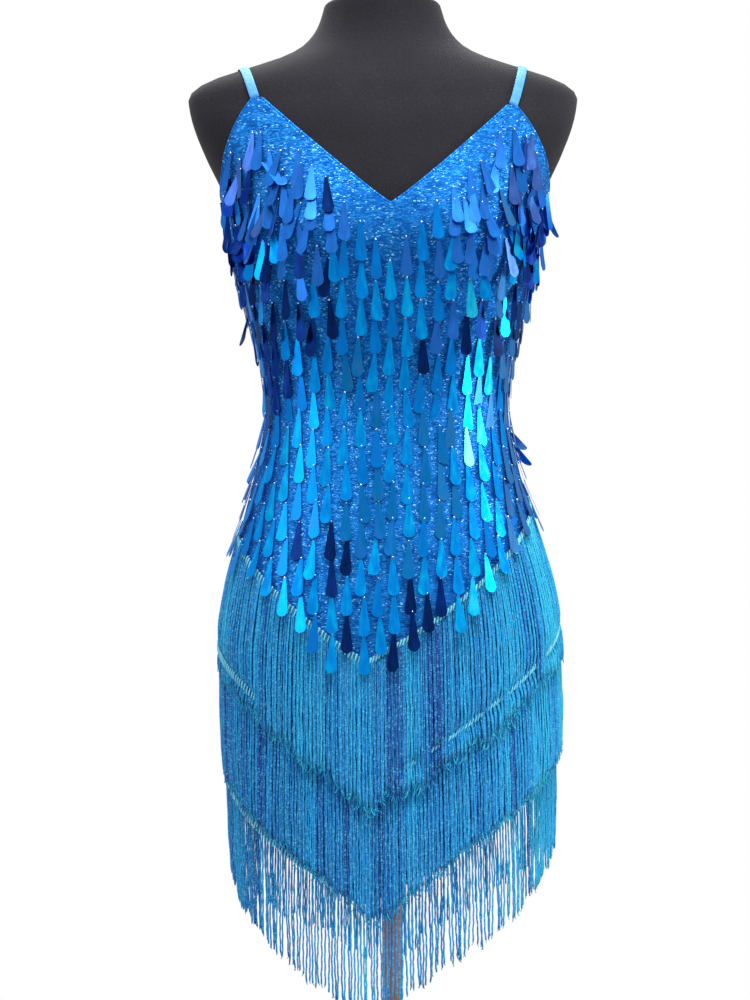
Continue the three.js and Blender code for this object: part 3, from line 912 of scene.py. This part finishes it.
def yarn_lengths(tier, look, distance, angles, on_back, rng):
    """Lengths that drift along the tape and grow towards its tip, with a trim of their own on each side."""
    drift = np.sin(distance / DRIFT["length"] + rng.uniform(0, 6))
    drift *= np.sin(distance / DRIFT["ripple"] + 1.3 * np.sin(distance / DRIFT["slow"]))
    uneven = 0.5 * rng.uniform(0, 1, len(distance)) + 0.5 * (0.5 + 0.5 * drift)
    length = tier["length"] - look["uneven"] * uneven
    to_right = smoothstep(np.sin(np.radians(angles)), -0.2, 0.2)
    length += look["left"] + (look["right"] - look["left"]) * to_right
    turned = from_front(angles - (180 if on_back else tier["tip_angle"])) / TIP_HALF_TURN
    return length + look["tip"] * np.exp(-turned * turned)


def hangs_behind(look, count):
    """1 for every other yarn of a dense tier, which hangs behind its neighbours, and 0 for the rest."""
    return (np.arange(count) % 2) * (look["pitch"] < DENSE_PITCH)


def yarn_offsets(tier_name, angles, z, fall, on_back, rng):
    """How far each yarn hangs off the body: less where the next tape holds it down, and at the sides."""
    tier, look = TIERS[tier_name], YARN_LOOKS[tier_name]
    count = len(angles)
    layer = (rng.uniform(-0.2, 0.6, count) - 0.75 * hangs_behind(look, count))[:, None]
    inner = CLOTH_TOP + TAPE["ease"] + TAPE["half_thickness"]
    offset = inner + tier["stand"] * np.minimum(1, 1.5 * fall) + layer * np.minimum(1, 4 * fall)
    below = dict(upper="middle", middle="lower").get(tier_name)
    if below:
        crossed = (z - tier_height(TIERS[below], angles)[:, None]) / LACED["half_height"]
        offset -= LACED["dip"] * sewn_down(below, angles, on_back)[:, None] * np.exp(-crossed * crossed)
    aside = np.sin(np.radians(angles))
    tuck = np.where(aside < 0, look["tucks"][0], look["tucks"][1]) * smoothstep(np.abs(aside), 0.6, 1.0)
    return offset - tuck[:, None] * fall


def yarn_sway(look, distance, z, fall, rng):
    """How far each yarn strays sideways, in clumps and with waves and kinks of its own, and in and out."""
    count = len(distance)
    along = distance[:, None]
    clump = look["clump"] * np.sin(along / DRIFT["clump"] + 2.2 * np.sin(along / DRIFT["slow"] + z / 60))
    phase = rng.uniform(0, 2 * math.pi, (count, 3))
    wave = look["wander"] * np.sin(z / rng.uniform(5, 9, (count, 1)) + phase[:, :1])
    kink = look["kink"] * np.sin(z / 2.2 + phase[:, 2:])
    lean = rng.normal(0, 1.6 * look["clump"], (count, 1)) * fall**1.5
    sideways = clump * fall**0.8 + (wave + kink) * np.minimum(1, 3 * fall) + lean
    return sideways[..., None], (0.35 * np.sin(z / 7.0 + phase[:, 1:2]) * fall)[..., None]


def yarn_tones(tier, look, distance, angles, on_back, rng):
    """Tones that drift along the tape, with painted light that makes them lighter to the right, painted shade
    on the yarns that hang behind, and a few dark streaks.
    """
    count = len(distance)
    tone = look["tone"] + 0.08 * rng.normal(size=count) + 0.06 * np.sin(distance / DRIFT["tone"])
    # Painted light on the right side, and painted shade on the yarns that hang behind their neighbours.
    tone += 0.22 * smoothstep(np.sin(np.radians(angles)), 0.3, 0.95) - 0.06 * hangs_behind(look, count)
    reach = side_arc(tier["left"], on_back)
    for streak in rng.uniform(-reach, reach, STREAKS["count"]):
        tone -= STREAKS["depth"] * np.exp(-(((distance - streak) / STREAKS["half_width"]) ** 2))
    return np.clip(tone, 0, 1)


def yarn_paths(name, tier_name, on_back):
    """Each yarn's path from its tape down, with its angle and its tone."""
    rng = draws(name)
    tier, look = TIERS[tier_name], YARN_LOOKS[tier_name]
    pitch = BACK_LOWER_PITCH if on_back and tier_name == "lower" else look["pitch"]
    distance, angles = tier_roots(tier, pitch, on_back, rng)
    fall = np.linspace(0, 1, YARN["points"])[None, :]
    z_root = tier_height(tier, angles) - TAPE["half_width"] + YARN["root_raise"]
    z = z_root[:, None] - yarn_lengths(tier, look, distance, angles, on_back, rng)[:, None] * fall
    paths = hanging_path(angles[:, None], z, yarn_offsets(tier_name, angles, z, fall, on_back, rng))
    normal = outward(angles, z_root)[:, None, :]
    tangent = unit(np.cross(normal, UP))
    sideways, inout = yarn_sway(look, distance, z, fall, rng)
    tone = yarn_tones(tier, look, distance, angles, on_back, rng)
    return paths + tangent * sideways + normal * inout, angles, tone


def fringe(tier_name, half, materials):
    """One half of a tier: its yarns with curled ends, its tape and the ladder stitches over it."""
    tier, look = TIERS[tier_name], YARN_LOOKS[tier_name]
    on_back = half == "back"
    name = f"yarns_{tier_name}_{half}"
    paths, angles, tone = yarn_paths(name, tier_name, on_back)
    normals = np.broadcast_to(outward(angles, paths[:, 0, 2])[:, None, :], paths.shape)
    swell = np.linspace(0.9, 1.06, YARN["points"])[None, :] * look["radius"]
    yarn, sides = materials["yarn"], YARN["sides"]
    yarns = tube_piece(name, paths, normals, swell, swell, sides, yarn, "fringe_yarn", tone)
    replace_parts(yarns, f"fringe_{tier_name}_{half}")
    curls = curled_ends(f"curls_{tier_name}_{half}", paths, normals[:, 0], tone, look, yarn)
    tape = fringe_tape(f"tape_{tier_name}_{half}", tier, on_back, materials["tape"])
    crown = RUNG_CROWN["bare" if tier_name == "upper" else "crossed"]
    rungs = ladder_stitches(f"ladder_{tier_name}_{half}", tier, on_back, crown, materials["thread"])
    return [yarns, curls, tape, rungs]


def curled_ends(name, paths, normals, tone, look, material):
    """Loose plies that curl at the end of each yarn, with a painted highlight that makes them lighter than
    the rest.
    """
    rng = draws(name)
    ends = np.repeat(paths[:, -1], CURL["count"], axis=0)
    count = len(ends)
    t = np.linspace(0, 1, CURL["points"])[None, :]
    turned = np.radians(rng.uniform(15, look["bend"], (count, 1)) * rng.choice([-1, 1], (count, 1))) * t**1.3
    facing = np.repeat(normals, CURL["count"], axis=0)
    level = unit(np.cross(facing, UP))
    heading = unit(level * rng.choice([-1, 1], (count, 1)) + facing * rng.uniform(-0.1, 0.5, (count, 1)))
    step = np.sin(turned)[..., None] * heading[:, None, :] - np.cos(turned)[..., None] * UP
    length = look["curl"] * rng.uniform(0.3, 1.0, (count, 1, 1)) / CURL["points"]
    lines = ends[:, None, :] + np.cumsum(step, axis=1) * length + CURL["root_raise"] * UP
    facing = np.broadcast_to(np.cross(heading, UP)[:, None, :], lines.shape)
    radius = CURL["radius"] * np.linspace(1.0, 0.6, CURL["points"])[None, :]
    # Painted highlight: the curls' tone is raised above their yarn's.
    lighter = np.clip(np.repeat(tone, CURL["count"]) + rng.uniform(-0.15, 0.45, count), 0, 1)
    return tube_piece(name, lines, facing, radius, radius, CURL["sides"], material, "fringe_yarn", lighter)


def tape_angles(on_back):
    angles = np.linspace(-TAPE["side_edge"], TAPE["side_edge"], TAPE["points"])
    return 180 + angles if on_back else angles


def fringe_tape(name, tier, on_back, material):
    angles = tape_angles(on_back)
    z = tier_height(tier, angles)
    path = cloth_point(angles, z, TAPE["ease"] - 0.1 + TAPE["half_thickness"])
    return single_tube(name, path, outward(angles, z), TAPE, material, "fringe_yarn")


def ladder_stitches(name, tier, on_back, crown, material):
    """Slanting rungs of shiny thread across the tape, and over what hangs across it, at a crown above it."""
    rng = draws(name)
    distance, angles = tier_roots(tier, RUNG["pitch"], on_back, rng)
    count = len(angles)
    z = tier_height(tier, angles)
    slant = angle_at(distance + RUNG["slant"], z, on_back) - angles
    t = np.linspace(-1, 1, RUNG["points"])[None, :]
    across = angles[:, None] + slant[:, None] * t * 0.5
    up = z[:, None] + t * (TAPE["half_width"] + 0.4) + rng.normal(0, 0.25, (count, 1))
    crown = TAPE["ease"] + 2 * TAPE["half_thickness"] + crown - 0.5 * np.abs(t) ** 3
    lines = cloth_point(across, up, crown + np.zeros(across.shape))
    tone = rng.uniform(0, 1, count)
    half_width = RUNG["half_width"] * rng.uniform(0.85, 1.1, (count, 1))
    thick, sides = RUNG["half_thickness"], RUNG["sides"]
    facing = outward(across, up)
    return tube_piece(name, lines, facing, half_width, thick, sides, material, "fringe_yarn", tone)


# ---------- Paillettes and beads ----------
DROP = dict(
    length=39, top_radius=1.4, end_radius=5.9, thickness=0.3,
    column_pitch=14.9, row_pitch=35.5, first_row=1342, bare_edge=23, from_seam=2, from_tape=7,
)
BEAD = dict(radius=1.0, stand=0.6, below_thread=1.2, stacks=5, around=8)
WAIST_FLARE = dict(z=1038, half_height=75, lift=9)
CROWD = dict(from_centre=54, low=1212, high=1350, share=0.92)
# Between these heights above the upper tape, the drops stop riding up on it.
NEAR_TAPE = (12, 40)
# Where the drops lie ruffled, and by how many degrees they swing and twist there.
RUFFLE = dict(
    above_cup=42, half_height=75, from_turn=17, fade=22, back_share=0.35, swing=20, twist=27, stand=0.14,
)
# Shares of drops whose painted reflection is sky rather than azure, and of odd ones in a dark navy painted
# reflection.
SKY_SHARE = 0.72
ODD_SHARE = 0.01

# Shades of the film: name, tone and colour. Each is a painted reflection: a drop's tone tells how its tilt
# turns it to or from the light, from black and navy in painted shade to cyan and flash in painted highlight.
SHADES = [
    ("black", 0.00, (0.001, 0.004, 0.025)),
    ("navy", 0.10, (0.001, 0.02, 0.13)),
    ("indigo", 0.20, (0.002, 0.035, 0.33)),
    ("lilac", 0.30, (0.06, 0.15, 0.52)),
    ("slate", 0.40, (0.05, 0.25, 0.60)),
    ("teal", 0.50, (0.0, 0.19, 0.55)),
    ("royal", 0.60, (0.022, 0.165, 0.66)),
    ("azure", 0.70, (0.0, 0.225, 0.76)),
    ("sky", 0.79, (0.0, 0.315, 0.93)),
    ("cyan", 0.87, (0.0, 0.60, 1.0)),
    ("flash", 1.00, (0.11, 0.79, 1.0)),
]
TONES = {row[0]: row[1] for row in SHADES}

# Fields of drops that share a shade of painted reflection, shadow or highlight: the middle and half size of
# each in x and z, and the share of its drops.
FIELD_COLUMNS = ("half", "x", "z", "half_x", "half_z", "shade", "share")
FIELDS = [
    ("front", 14, 985, 42, 90, "teal", 0.5),
    ("front", 60, 1060, 22, 60, "teal", 0.35),
    ("front", -52, 1060, 20, 60, "teal", 0.2),
    # Painted dark reflection: navy and black drops low at the middle.
    ("front", 24, 834, 56, 44, "navy", 0.75),
    ("front", 20, 850, 46, 50, "black", 0.35),
    ("front", 22, 895, 36, 24, "navy", 0.55),
    ("front", -70, 935, 14, 14, "navy", 0.6),
    ("front", -76, 1272, 62, 62, "royal", 0.9),
    ("front", 82, 1272, 62, 62, "royal", 0.88),
    ("front", -104, 1304, 70, 56, "royal", 1.0),
    ("front", 106, 1296, 66, 52, "royal", 1.0),
    ("front", 0, 1225, 34, 30, "azure", 0.7),
    ("front", -132, 1310, 18, 44, "lilac", 0.55),
    ("front", 138, 1300, 18, 48, "lilac", 0.5),
    ("front", -148, 1215, 18, 60, "indigo", 0.85),
    ("front", 148, 1205, 16, 56, "indigo", 0.7),
    # Painted shadow under the bust: navy and black drops.
    ("front", -108, 1176, 34, 28, "navy", 0.75),
    ("front", -118, 1186, 16, 24, "black", 0.45),
    ("front", 96, 1172, 38, 28, "navy", 0.85),
    ("front", 108, 1166, 18, 20, "black", 0.35),
    ("front", -120, 1110, 16, 50, "indigo", 0.5),
    ("front", 126, 1040, 18, 130, "slate", 0.75),
    # Painted highlight: cyan and flash drops in a column down the right side.
    ("front", 80, 1120, 14, 40, "cyan", 0.45),
    ("front", 78, 980, 15, 110, "cyan", 0.5),
    ("front", 76, 1020, 9, 90, "flash", 0.08),
    # Painted highlight: single cyan drops on the bust.
    ("front", -64, 1224, 8, 12, "cyan", 1.0),
    ("front", 128, 1234, 8, 14, "cyan", 1.0),
    ("back", -20, 1000, 50, 90, "teal", 0.5),
    ("back", 30, 860, 60, 50, "navy", 0.4),
    ("back", -90, 1180, 40, 60, "royal", 0.7),
    ("back", 95, 1200, 40, 60, "royal", 0.7),
    ("back", 70, 1010, 16, 120, "cyan", 0.35),
    ("back", -128, 1080, 18, 120, "slate", 0.5),
]

# Drops that a turned thread holds away from the rest: the angle and the height at which each hangs, and the
# degrees by which it lifts, swings and twists.
STRAYS = [
    (-82, 1154, 20, 46, -30),
    (84, 1262, 18, -35, 30),
    (84, 1036, 24, -58, 50),
    (82, 1024, 20, -50, 40),
    (-150, 1120, 18, -6, 10),
    (140, 1060, 20, 7, -10),
]


def drop_outline():
    """Half widths of a drop at distances down from its top, round at both ends."""
    length, small, big = DROP["length"], DROP["top_radius"], DROP["end_radius"]
    rows = [(small * (1 - math.cos(a)), small * math.sin(a)) for a in (0.35, 0.9, math.pi / 2)]
    straight = length - big - small
    slope = (big - small) / straight
    rows += [(small + straight * t, small + slope * straight * t) for t in (0.25, 0.5, 0.75, 0.95)]
    turns = np.radians([8, 30, 50, 66, 80, 88])
    rows += [(length - big + big * math.sin(a), big * math.cos(a)) for a in turns]
    return np.array(rows)


def stray_rows(on_back):
    return [row for row in STRAYS if (abs(row[0]) > 90) == on_back]


def drop_places(on_back):
    """Where the drops hang: columns along the knit's grain, each a half step off its neighbours, with more of
    them crowded over the outer sides of the bust."""
    rng = draws("drops_back" if on_back else "drops_front")
    top = back_top if on_back else front_top
    places = []
    half_pitch = DROP["row_pitch"] / 2
    reach = int(float(ARCS[on_back][:, -1].max()) / DROP["column_pitch"])
    for column in range(-reach, reach + 1):
        start = DROP["first_row"] - (half_pitch if column % 2 else 0)
        for row, z in enumerate(np.arange(start, TIERS["upper"]["tip"], -half_pitch)):
            distance = column * DROP["column_pitch"] + rng.uniform(-1.6, 1.6)
            height = z + rng.uniform(-2.5, 2.5)
            crowded = not on_back and abs(distance) > CROWD["from_centre"]
            crowded = crowded and CROWD["low"] < z < CROWD["high"]
            if row % 2 and not (crowded and rng.uniform() < CROWD["share"]):
                continue
            if crowded:
                distance += rng.uniform(-5, 5)
                height += rng.uniform(-5, 5)
            if abs(distance) > side_arc(height, on_back) - DROP["from_seam"]:
                continue
            angle = float(angle_at(distance, height, on_back))
            edge = float(top(np.array(angle)))
            low = float(tier_height(TIERS["upper"], angle))
            if low + DROP["from_tape"] <= height <= edge - bare_depth(angle, on_back):
                places.append((angle, height))
    places += [row[:2] for row in stray_rows(on_back)]
    return np.array(places), rng


def bare_depth(angle, on_back):
    """How far below the upper edge the drops begin: further along the V neck than at the armholes."""
    if on_back:
        return 14
    inner = PEAKS["left"]["inner"] if angle < 0 else PEAKS["right"]["inner"]
    return DROP["bare_edge"] if abs(angle) < inner + 2 else 5


def ruffle_share(angles, heights, on_back):
    """How ruffled the drops lie, from 0 to 1: most of all at the outer bust, and less on the back."""
    up = (heights - CUP["z"] - RUFFLE["above_cup"]) / RUFFLE["half_height"]
    turned = (np.abs(from_front(angles)) - RUFFLE["from_turn"]) / RUFFLE["fade"]
    return np.exp(-up * up) * np.clip(turned, 0, 1) * (RUFFLE["back_share"] if on_back else 1)


def drop_turns(heights, near_tape, at_side, ruffled, on_back, rng):
    """By how much each drop lifts off the cloth, swings aside and twists; the stray ones come last."""
    count = len(heights)
    loose = ruffled * (1 - at_side)
    lift = rng.uniform(1, 5, count) + 5 * near_tape + loose * rng.uniform(-3, 5, count)
    lift *= 1 - 0.5 * at_side
    from_waist = (heights - WAIST_FLARE["z"]) / WAIST_FLARE["half_height"]
    lift += WAIST_FLARE["lift"] * at_side * np.exp(-from_waist * from_waist)
    swing = rng.normal(0, 3, count) + ruffled * rng.normal(0, RUFFLE["swing"], count)
    twist = rng.normal(0, 4, count) + ruffled * rng.normal(0, RUFFLE["twist"], count)
    strays = np.array(stray_rows(on_back), dtype=float)
    for turns, stray_turns in zip((lift, swing, twist), strays[:, 2:].T):
        turns[-len(strays) :] = stray_turns
    lift += RUFFLE["stand"] * np.abs(twist) * loose
    return np.radians([lift, swing, twist])[..., None]


def drop_frames(angles, heights, on_back, rng):
    """The hanging point of each drop, its own down, across and face directions, and how ruffled it lies."""
    header = tier_height(TIERS["upper"], angles)
    near_tape = 1 - smoothstep(heights - header, *NEAR_TAPE)
    anchor = cloth_point(angles, heights, 0.9 + 2.4 * near_tape)
    normal = outward(angles, heights)
    level = unit(np.cross(UP, normal))
    aside = np.sin(np.radians(angles))
    at_side = smoothstep(np.abs(aside), 0.8, 1.0) * np.where(aside < 0, 1.0, 0.5)
    overhang = (np.clip(-normal[:, 2] * 2.2, 0, 0.9) * (1 - 0.85 * at_side))[:, None]
    along = unit(np.cross(normal, level)) * -1
    down = unit(along * (1 - overhang) - UP * overhang)
    face = unit(np.cross(level, down))
    face *= np.sign((face * normal).sum(-1))[:, None]
    ruffled = ruffle_share(angles, heights, on_back)
    lift, swing, twist = drop_turns(heights, near_tape, at_side, ruffled, on_back, rng)
    lifted, face = rotated(down, face, lift)
    hung = rotated(lifted, np.cross(lifted, face), swing)[0]
    side, face = rotated(unit(np.cross(hung, face)), face, twist)
    return anchor, hung, side, face, ruffled


def drop_tones(anchor, half, rng):
    """Painted reflection of each drop: mostly sky and azure, with fields of other shades and a few odd ones.
    """
    x, z = anchor[:, 0], anchor[:, 2]
    count = len(x)
    tone = np.where(rng.uniform(size=count) < SKY_SHARE, TONES["sky"], TONES["azure"])
    for row in FIELDS:
        field = dict(zip(FIELD_COLUMNS, row))
        across = (x - field["x"]) / field["half_x"]
        up = (z - field["z"]) / field["half_z"]
        chance = np.minimum(1, 1.6 * np.exp(-across * across - up * up)) * field["share"]
        taken = (rng.uniform(size=count) < chance) & (field["half"] == half)
        tone = np.where(taken, TONES[field["shade"]], tone)
    tone = np.where(rng.uniform(size=count) < ODD_SHARE, TONES["navy"], tone)
    return np.clip(tone + rng.normal(0, 0.012, count), 0, 1)


def paillettes(half, materials):
    on_back = half == "back"
    places, rng = drop_places(on_back)
    anchor, down, side, face, ruffled = drop_frames(places[:, 0], places[:, 1], on_back, rng)
    tones = drop_tones(anchor, half, rng)
    count = len(anchor)
    outline = drop_outline()
    rows = len(outline)
    curl = (rng.uniform(-0.3, 0.6, count) + ruffled * rng.uniform(-1, 2.5, count))[:, None, None]
    bow = rng.uniform(0.0, 0.12, count)[:, None, None]
    share = (outline[:, 0] / DROP["length"])[None, :, None]
    across = np.array([-1.0, 0.0, 1.0])[None, None, :]
    out = curl * share**2 * 2.0 + bow * (1 - across**2) * share
    grid = (
        anchor[:, None, None, :]
        + down[:, None, None, :] * outline[None, :, 0, None, None]
        + side[:, None, None, :] * (outline[None, :, 1, None] * across)[..., None]
    )
    front = grid + face[:, None, None, :] * (out + DROP["thickness"])[..., None]
    back = grid + face[:, None, None, :] * out[..., None]
    points = np.concatenate([front, back], axis=1).reshape(-1, 3)
    faces = drop_faces(count, rows)
    size = rows * 3 * 2
    uv = np.zeros((count, size, 2))
    uv[..., 0] = rng.uniform(0, 300, (count, 1)) + np.tile(np.array([-5.0, 0.0, 5.0]), rows * 2)
    uv[..., 1] = rng.uniform(0, 900, (count, 1)) + np.tile(np.repeat(outline[:, 0], 3), 2)
    name = f"paillettes_{half}"
    tones = np.repeat(tones, size)
    uv = uv.reshape(-1, 2)
    film = make_piece(name, points, faces, materials["film"], uv, tones, crisp=40)
    return [film, beads(half, anchor, face, materials["bead"])]


def drop_faces(count, rows):
    """Faces of all drops: front and back skins, then the thin rims."""
    skin = rows * 3
    front = grid_faces(rows, 3)
    back = front[:, [0, 3, 2, 1]] + skin
    one = np.concatenate([front, back, rim_faces(rows, 3, 0, skin)])
    return (one[None] + (np.arange(count) * skin * 2)[:, None, None]).reshape(-1, 4).tolist()


def beads(half, anchor, face, material):
    """A faceted round bead over the hole of each drop."""
    rng = draws(f"beads_{half}")
    fall = math.pi * (1 - np.arange(1, BEAD["stacks"]) / BEAD["stacks"])
    ball, ball_faces = lathe_mesh(turned_grid(np.sin(fall), np.cos(fall), BEAD["around"]), -1, 1)
    count = len(anchor)
    size = BEAD["radius"] * rng.uniform(0.8, 1.1, (count, 1, 1))
    stand = DROP["thickness"] + BEAD["stand"] * BEAD["radius"]
    points = anchor[:, None, :] + face[:, None, :] * stand + ball[None] * size
    points[..., 2] -= BEAD["below_thread"]
    faces = [[v + n * len(ball) for v in corners] for n in range(count) for corners in ball_faces]
    tone = np.repeat(rng.uniform(0, 1, count), len(ball))
    return make_piece(f"beads_{half}", points.reshape(-1, 3), faces, material, None, tone)


# ---------- Dress form and stand ----------
def form_cover(material):
    """The jersey-covered torso, smooth all round, with a flat cut neck and a flat underside."""
    turns = np.linspace(0, 360, 144, endpoint=False)
    edge = FORM["edge"]
    rounded = [(edge * (1 - math.sin(a)), edge * (1 - math.cos(a))) for a in np.linspace(0, math.pi / 2, 7)]
    low = sorted(((FORM["bottom"] + u, i) for i, u in rounded), key=lambda row: row[0])
    middle = [(z, 0.0) for z in np.linspace(FORM["bottom"] + edge, FORM["top"] - edge / 2, 110)[1:-1]]
    high = sorted(((FORM["top"] - u / 2, i / 2) for i, u in rounded), key=lambda row: row[0])
    levels = np.array(low + middle + high)
    z = levels[:, 0][None, :]
    slim = FORM["slimmer"] * (1 - smoothstep(z, FORM["slim_to"], FORM["slim_from"]))
    ring = section(z)
    for key in ("half_width", "front", "back"):
        ring[key] = ring[key] - levels[:, 1][None, :] - slim
    grid = section_point(turns[:, None], z, ring, FORM["cup_share"])
    points, faces = lathe_mesh(grid, FORM["bottom"], FORM["top"])
    piece = make_piece("form_cover", points, faces, material)
    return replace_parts(piece, "form_torso")


def turned_piece(name, profile, around, material):
    """A solid of revolution, from a profile of (radius, height) that starts and ends on the Z axis."""
    radius, height = np.array(profile[1:-1], dtype=float).T
    points, faces = lathe_mesh(turned_grid(radius, height, around), profile[0][1], profile[-1][1])
    uv = np.stack([np.degrees(np.arctan2(points[:, 1], points[:, 0])), points[:, 2]], axis=-1)
    return make_piece(name, points, faces, material, uv, crisp=35)


def arc_profile(radius, z, size, first, last, steps=5):
    """Points of a rounded corner about a centre, between two directions in degrees."""
    return [
        (radius + size * math.cos(math.radians(a)), z + size * math.sin(math.radians(a)))
        for a in np.linspace(first, last, steps)
    ]


def stand(materials):
    low, high = BASE["boss_top"] + POLE["gap"], FORM["bottom"] - POLE["gap"]
    r = POLE["radius"]
    tube_profile = [(0, low), (r - 1, low), (r, low + 1), (r, high - 1), (r - 1, high), (0, high)]
    tube = turned_piece("stand_tube", tube_profile, 64, materials["steel"])
    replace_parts(tube, "stand_pole")
    radius, round_edge = BASE["radius"], BASE["rim"] / 2
    plate_profile = [(0, 0)]
    plate_profile += arc_profile(radius - 2, 2, 2, -90, 0)
    plate_profile += arc_profile(radius - round_edge, BASE["edge"] - round_edge, round_edge, 0, 78)
    plate_profile += [(BASE["hub_radius"], BASE["hub_top"]), (BASE["boss"] + 3, BASE["hub_top"] + 2)]
    plate_profile += [(BASE["boss"], BASE["hub_top"] + BASE["rim"])]
    plate_profile += arc_profile(BASE["boss"] - 4.5, BASE["boss_top"] - 3, 3, 0, 90)
    plate_profile += [(0, BASE["boss_top"])]
    plate = turned_piece("stand_plate", plate_profile, 128, materials["paint"])
    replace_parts(plate, "stand_base")


# ---------- Studio ----------
CAMERA = dict(distance=2200, x=-12.5, z=970, turn=2.5, roll=0.6, sensor=36, frame_height=1000)


def camera():
    """The camera of the photo: in front of the dress, a little to its left, with a slight roll."""
    turn, roll = math.radians(CAMERA["turn"]), math.radians(CAMERA["roll"])
    right = Vector((math.cos(turn), -math.sin(turn), 0))
    forward = Vector((math.sin(turn), math.cos(turn), 0))
    up = Vector((0, 0, 1))
    place = right * CAMERA["x"] - forward * CAMERA["distance"] + up * CAMERA["z"]
    tilted_right = right * math.cos(roll) - up * math.sin(roll)
    tilted_up = up * math.cos(roll) + right * math.sin(roll)
    data = bpy.data.cameras.new("photo_camera")
    data.sensor_width = CAMERA["sensor"]
    data.lens = CAMERA["sensor"] * CAMERA["distance"] / CAMERA["frame_height"]
    data.clip_end = 50
    item = new_object("photo_camera", data)
    axes = Matrix((tilted_right, tilted_up, -forward)).transposed()
    item.matrix_world = Matrix.Translation(place * MM) @ axes.to_4x4()
    bpy.context.scene.camera = item


# Soft boxes: their place, their size and the height on the axis that they aim at in metres, their
# power in watts and their colour.
LIGHTS = dict(
    key_box=dict(place=(0.3, -1.05, 3.8), aim=1.0, size=(2.0, 1.0), power=112, colour=(1.0, 0.99, 0.97)),
    right_strip=dict(place=(2.0, -0.75, 1.12), aim=1.02, size=(0.30, 1.1), power=22, colour=(1, 1, 1)),
    left_fill=dict(place=(-2.2, -1.4, 1.9), aim=1.1, size=(1.0, 1.4), power=12, colour=(0.92, 0.95, 1.0)),
    back_fill=dict(place=(-0.3, 1.5, 3.5), aim=1.0, size=(2.2, 1.2), power=60, colour=(1, 1, 1)),
)
FLOOR = dict(radius=1200, z=-0.5, around=96)


def lights():
    for name, row in LIGHTS.items():
        data = bpy.data.lights.new(name, "AREA")
        data.shape = "RECTANGLE"
        data.size, data.size_y = row["size"]
        data.energy = row["power"]
        data.color = row["colour"]
        item = new_object(name, data)
        place = Vector(row["place"])
        item.location = place
        item.rotation_euler = (Vector((0, 0, row["aim"])) - place).to_track_quat("-Z", "Y").to_euler()


def world():
    """A white studio for the eye, with a softer grey light on the dress that is darker towards the floor."""
    bpy.context.scene.view_settings.view_transform = "Standard"
    item = bpy.data.worlds.new("studio")
    item.use_nodes = True
    tree = item.node_tree
    tree.nodes.clear()
    place = add(tree, "TexCoord").outputs["Generated"]
    height = add(tree, "SeparateXYZ", {"Vector": place}).outputs["Z"]
    level = scaled(tree, height, 0.5, 0.5)
    glow = ramp(tree, level, (0.2, (0.08, 0.08, 0.09)), (0.41, (0.64, 0.65, 0.66)), (0.7, (0.74, 0.75, 0.77)))
    lit = add(tree, "Background", {"Color": glow, "Strength": 0.9})
    seen = add(tree, "Background", {"Color": WHITE, "Strength": 1.0})
    eye = add(tree, "LightPath").outputs["Is Camera Ray"]
    mixed = add(tree, "MixShader", {0: eye, 1: lit.outputs["Background"], 2: seen.outputs["Background"]})
    output = add(tree, "OutputWorld")
    tree.links.new(mixed.outputs["Shader"], output.inputs["Surface"])
    bpy.context.scene.world = item


def floor():
    turn = full_turn(FLOOR["around"])
    edge = [FLOOR["radius"] * np.cos(turn), FLOOR["radius"] * np.sin(turn), np.full(turn.shape, FLOOR["z"])]
    mesh = bpy.data.meshes.new("floor")
    mesh.from_pydata((np.stack(edge, axis=-1) * MM).tolist(), [], [list(range(FLOOR["around"]))])
    mesh.materials.append(pale_floor())
    item = new_object("floor", mesh)


def build_dress():
    knit = glitter_knit()
    materials = dict(
        yarn=chainette_yarn(),
        tape=satin_tape("tape_weave", (0.005, 0.06, 0.20), (0.02, 0.20, 0.42), 0.5),
        thread=satin_tape("ladder_thread", (0.03, 0.46, 0.74), (0.24, 0.85, 1.0), 0.4),
        film=paillette_film(),
        bead=bead_glass(),
    )
    elastic = satin_tape("strap_satin", (0.02, 0.22, 0.68), (0.08, 0.42, 0.90), 0.35)
    front, front_area = cloth_panel("cloth_front", "dress_front", front_angles(), front_top, False, knit)
    back, back_area = cloth_panel("cloth_back", "dress_back", back_angles(), back_top, True, knit)
    trims = dict(front=[edge_hem("edge_front", front_angles(), front_top, knit)])
    trims["back"] = [edge_hem("edge_back", back_angles(), back_top, knit)]
    trims["front"] += [side_seam("seam_left", -1, knit), side_seam("seam_right", 1, knit)]
    trims["front"] += [strap("left", elastic), strap("right", elastic)]
    for half in ("front", "back"):
        trims[half] += paillettes(half, materials)
        for tier_name in TIERS:
            trims[half] += fringe(tier_name, half, materials)


form_cover(form_jersey())
stand(dict(steel=lacquered_steel(), paint=satin_paint()))
build_dress()
camera()
lights()
world()
floor()
